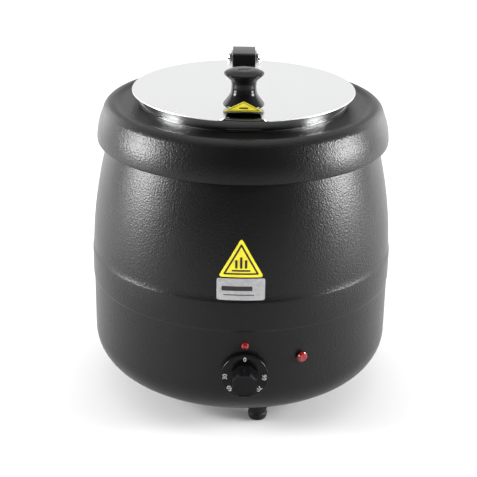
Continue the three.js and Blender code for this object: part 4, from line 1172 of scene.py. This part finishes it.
class KETTLE_OT_labels(Operator):
    """Wraps the yellow sign and the silver plate on the drum, and the small sign on the knob."""
    bl_idname = "kettle.labels"
    bl_label = "Labels"

    def execute(self, context):
        label, drum = context.scene.kettle_label, context.scene.kettle_drum
        near, far, reach = -0.2, -0.1, 0.2
        bottom, top = label.sign_bottom, high("heat_sign").z
        side, tall, corner = label.sign_side, (top - bottom) * TIP_RISE, label.sign_corner
        ink = label.ink * 1.5

        def skin(lift, film):
            return drum_skin("skin", drum, bottom - 3 * MM, top + 3 * MM, lift, film, reach)

        face = stamped("sign_face", skin(label.lift, label.film),
                       [triangle(side, tall, bottom, corner)], near, far)
        over = label.lift + label.film - label.ink / 2
        border = plate("rim", triangle(side, tall, bottom, corner, 2.7 * MM), (0, near, 0), RIGHT, UP,
                       BACK * (far - near))
        hole = plate("hole", triangle(side, tall, bottom, corner, 4.5 * MM), (0, near - MM, 0), RIGHT, UP,
                     BACK * (far - near + 2 * MM))
        border = carved(border, hole)
        lines = carved(skin(over, ink), border, "INTERSECT")
        bars = [rounded(rectangle(x - 1.2 * MM, x + 1.2 * MM, bottom + 9.5 * MM, bottom + t * MM), 0.7 * MM)
                for x, t in ((-5 * MM, 18.5), (0, 21.5), (5 * MM, 18.5))]
        bars.append(rounded(rectangle(-9.5 * MM, 9.5 * MM, bottom + 6.1 * MM, bottom + 7.9 * MM), 0.5 * MM))
        marks = stamped("sign_marks", skin(over, ink), bars, near, far)
        painted(face, FINISHES["sign_yellow"])
        painted(lines, FINISHES["print_black"])
        painted(marks, FINISHES["print_black"])
        sign = joined("yellow_sign", face, lines, marks)
        hand_over(sign, "kettle", "sign_yellow", "heat_sign", smooth=30)

        bottom, top = label.plate_bottom, label.plate_bottom + label.plate_height
        half = label.plate_width / 2
        face = stamped("plate_face", skin(label.lift, label.film),
                       [rounded(rectangle(-half, half, bottom, top), 2.5 * MM)], near, far)
        bars = [rounded(rectangle(-20 * MM, 12 * MM, bottom + 10.5 * MM, bottom + 15.5 * MM), 1.6 * MM),
                rounded(rectangle(-18 * MM, 14 * MM, bottom + 5.4 * MM, bottom + 6.4 * MM), 0.4 * MM)]
        marks = stamped("plate_marks", skin(over, ink), bars, near, far)
        painted(face, FINISHES["plate_silver"])
        painted(marks, FINISHES["print_black"])
        silver = joined("silver_plate", face, marks)
        hand_over(silver, "kettle", "plate_silver", "name_plate", smooth=30)

        lowest, highest = low("knob_sign"), high("knob_sign")
        width, tall, thick = highest.x - lowest.x, (highest.z - lowest.z) * TIP_RISE, highest.y - lowest.y
        tag = [triangle(width, tall, lowest.z, 1.2 * MM, inset * MM) for inset in (0, 0.8, 1.3)]
        small = plate("tag", tag[0], (0, highest.y, 0), RIGHT, UP, FRONT * (thick - label.ink))
        eased(small, 0.1 * MM, 1, 60)
        painted(small, FINISHES["sign_yellow"])
        front = highest.y - thick + ink
        rim = carved(plate("rim", tag[1], (0, front, 0), RIGHT, UP, FRONT * ink),
                     plate("hole", tag[2], (0, front + MM, 0), RIGHT, UP, FRONT * 3 * MM))
        mark = plate("mark", rounded(rectangle(-4.5 * MM, 4.5 * MM, lowest.z + 2.6 * MM, lowest.z + 4.2 * MM),
                                     0.5 * MM), (0, front, 0), RIGHT, UP, FRONT * ink)
        for print_piece in (rim, mark):
            painted(print_piece, FINISHES["print_black"])
        small = joined("knob_sign_face", small, rim, mark)
        hand_over(small, "lid", "sign_yellow", "knob_sign", smooth=40)
        return {"FINISHED"}


# ---------------------------------------------------------------- panel and registration
OPERATORS = (KETTLE_OT_finishes, KETTLE_OT_stage, KETTLE_OT_drum, KETTLE_OT_collar, KETTLE_OT_vessels,
             KETTLE_OT_lid, KETTLE_OT_knob, KETTLE_OT_hinge, KETTLE_OT_dial, KETTLE_OT_lamps, KETTLE_OT_feet,
             KETTLE_OT_gland, KETTLE_OT_labels)
GROUPS = {"kettle_drum": DrumSizes, "kettle_vessel": VesselSizes, "kettle_handle": HandleSizes,
          "kettle_fitting": FittingSizes, "kettle_label": LabelSizes, "kettle_colours": FinishColours,
          "kettle_stage": StageSettings}


class KETTLE_PT_panel(Panel):
    """Lists the kettle's pieces and their sizes."""
    bl_idname = "KETTLE_PT_panel"
    bl_label = "Soup Kettle"
    bl_space_type = "VIEW_3D"
    bl_region_type = "UI"
    bl_category = "Soup Kettle"

    def draw(self, context):
        for group in GROUPS:
            box = self.layout.box()
            settings = getattr(context.scene, group)
            box.label(text=settings.bl_rna.description)
            for name in settings.__annotations__:
                box.prop(settings, name)
        for operator in OPERATORS:
            self.layout.operator(operator.bl_idname)


def register():
    for kind in (*GROUPS.values(), *OPERATORS, KETTLE_PT_panel):
        bpy.utils.register_class(kind)
    for name, kind in GROUPS.items():
        setattr(bpy.types.Scene, name, PointerProperty(type=kind))


def unregister():
    for name in GROUPS:
        delattr(bpy.types.Scene, name)
    for kind in reversed((*GROUPS.values(), *OPERATORS, KETTLE_PT_panel)):
        bpy.utils.unregister_class(kind)


def main():
    """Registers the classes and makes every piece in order."""
    register()
    for operator in OPERATORS:
        getattr(bpy.ops.kettle, operator.bl_idname.split(".")[1])()


if __name__ == "__main__":
    main()
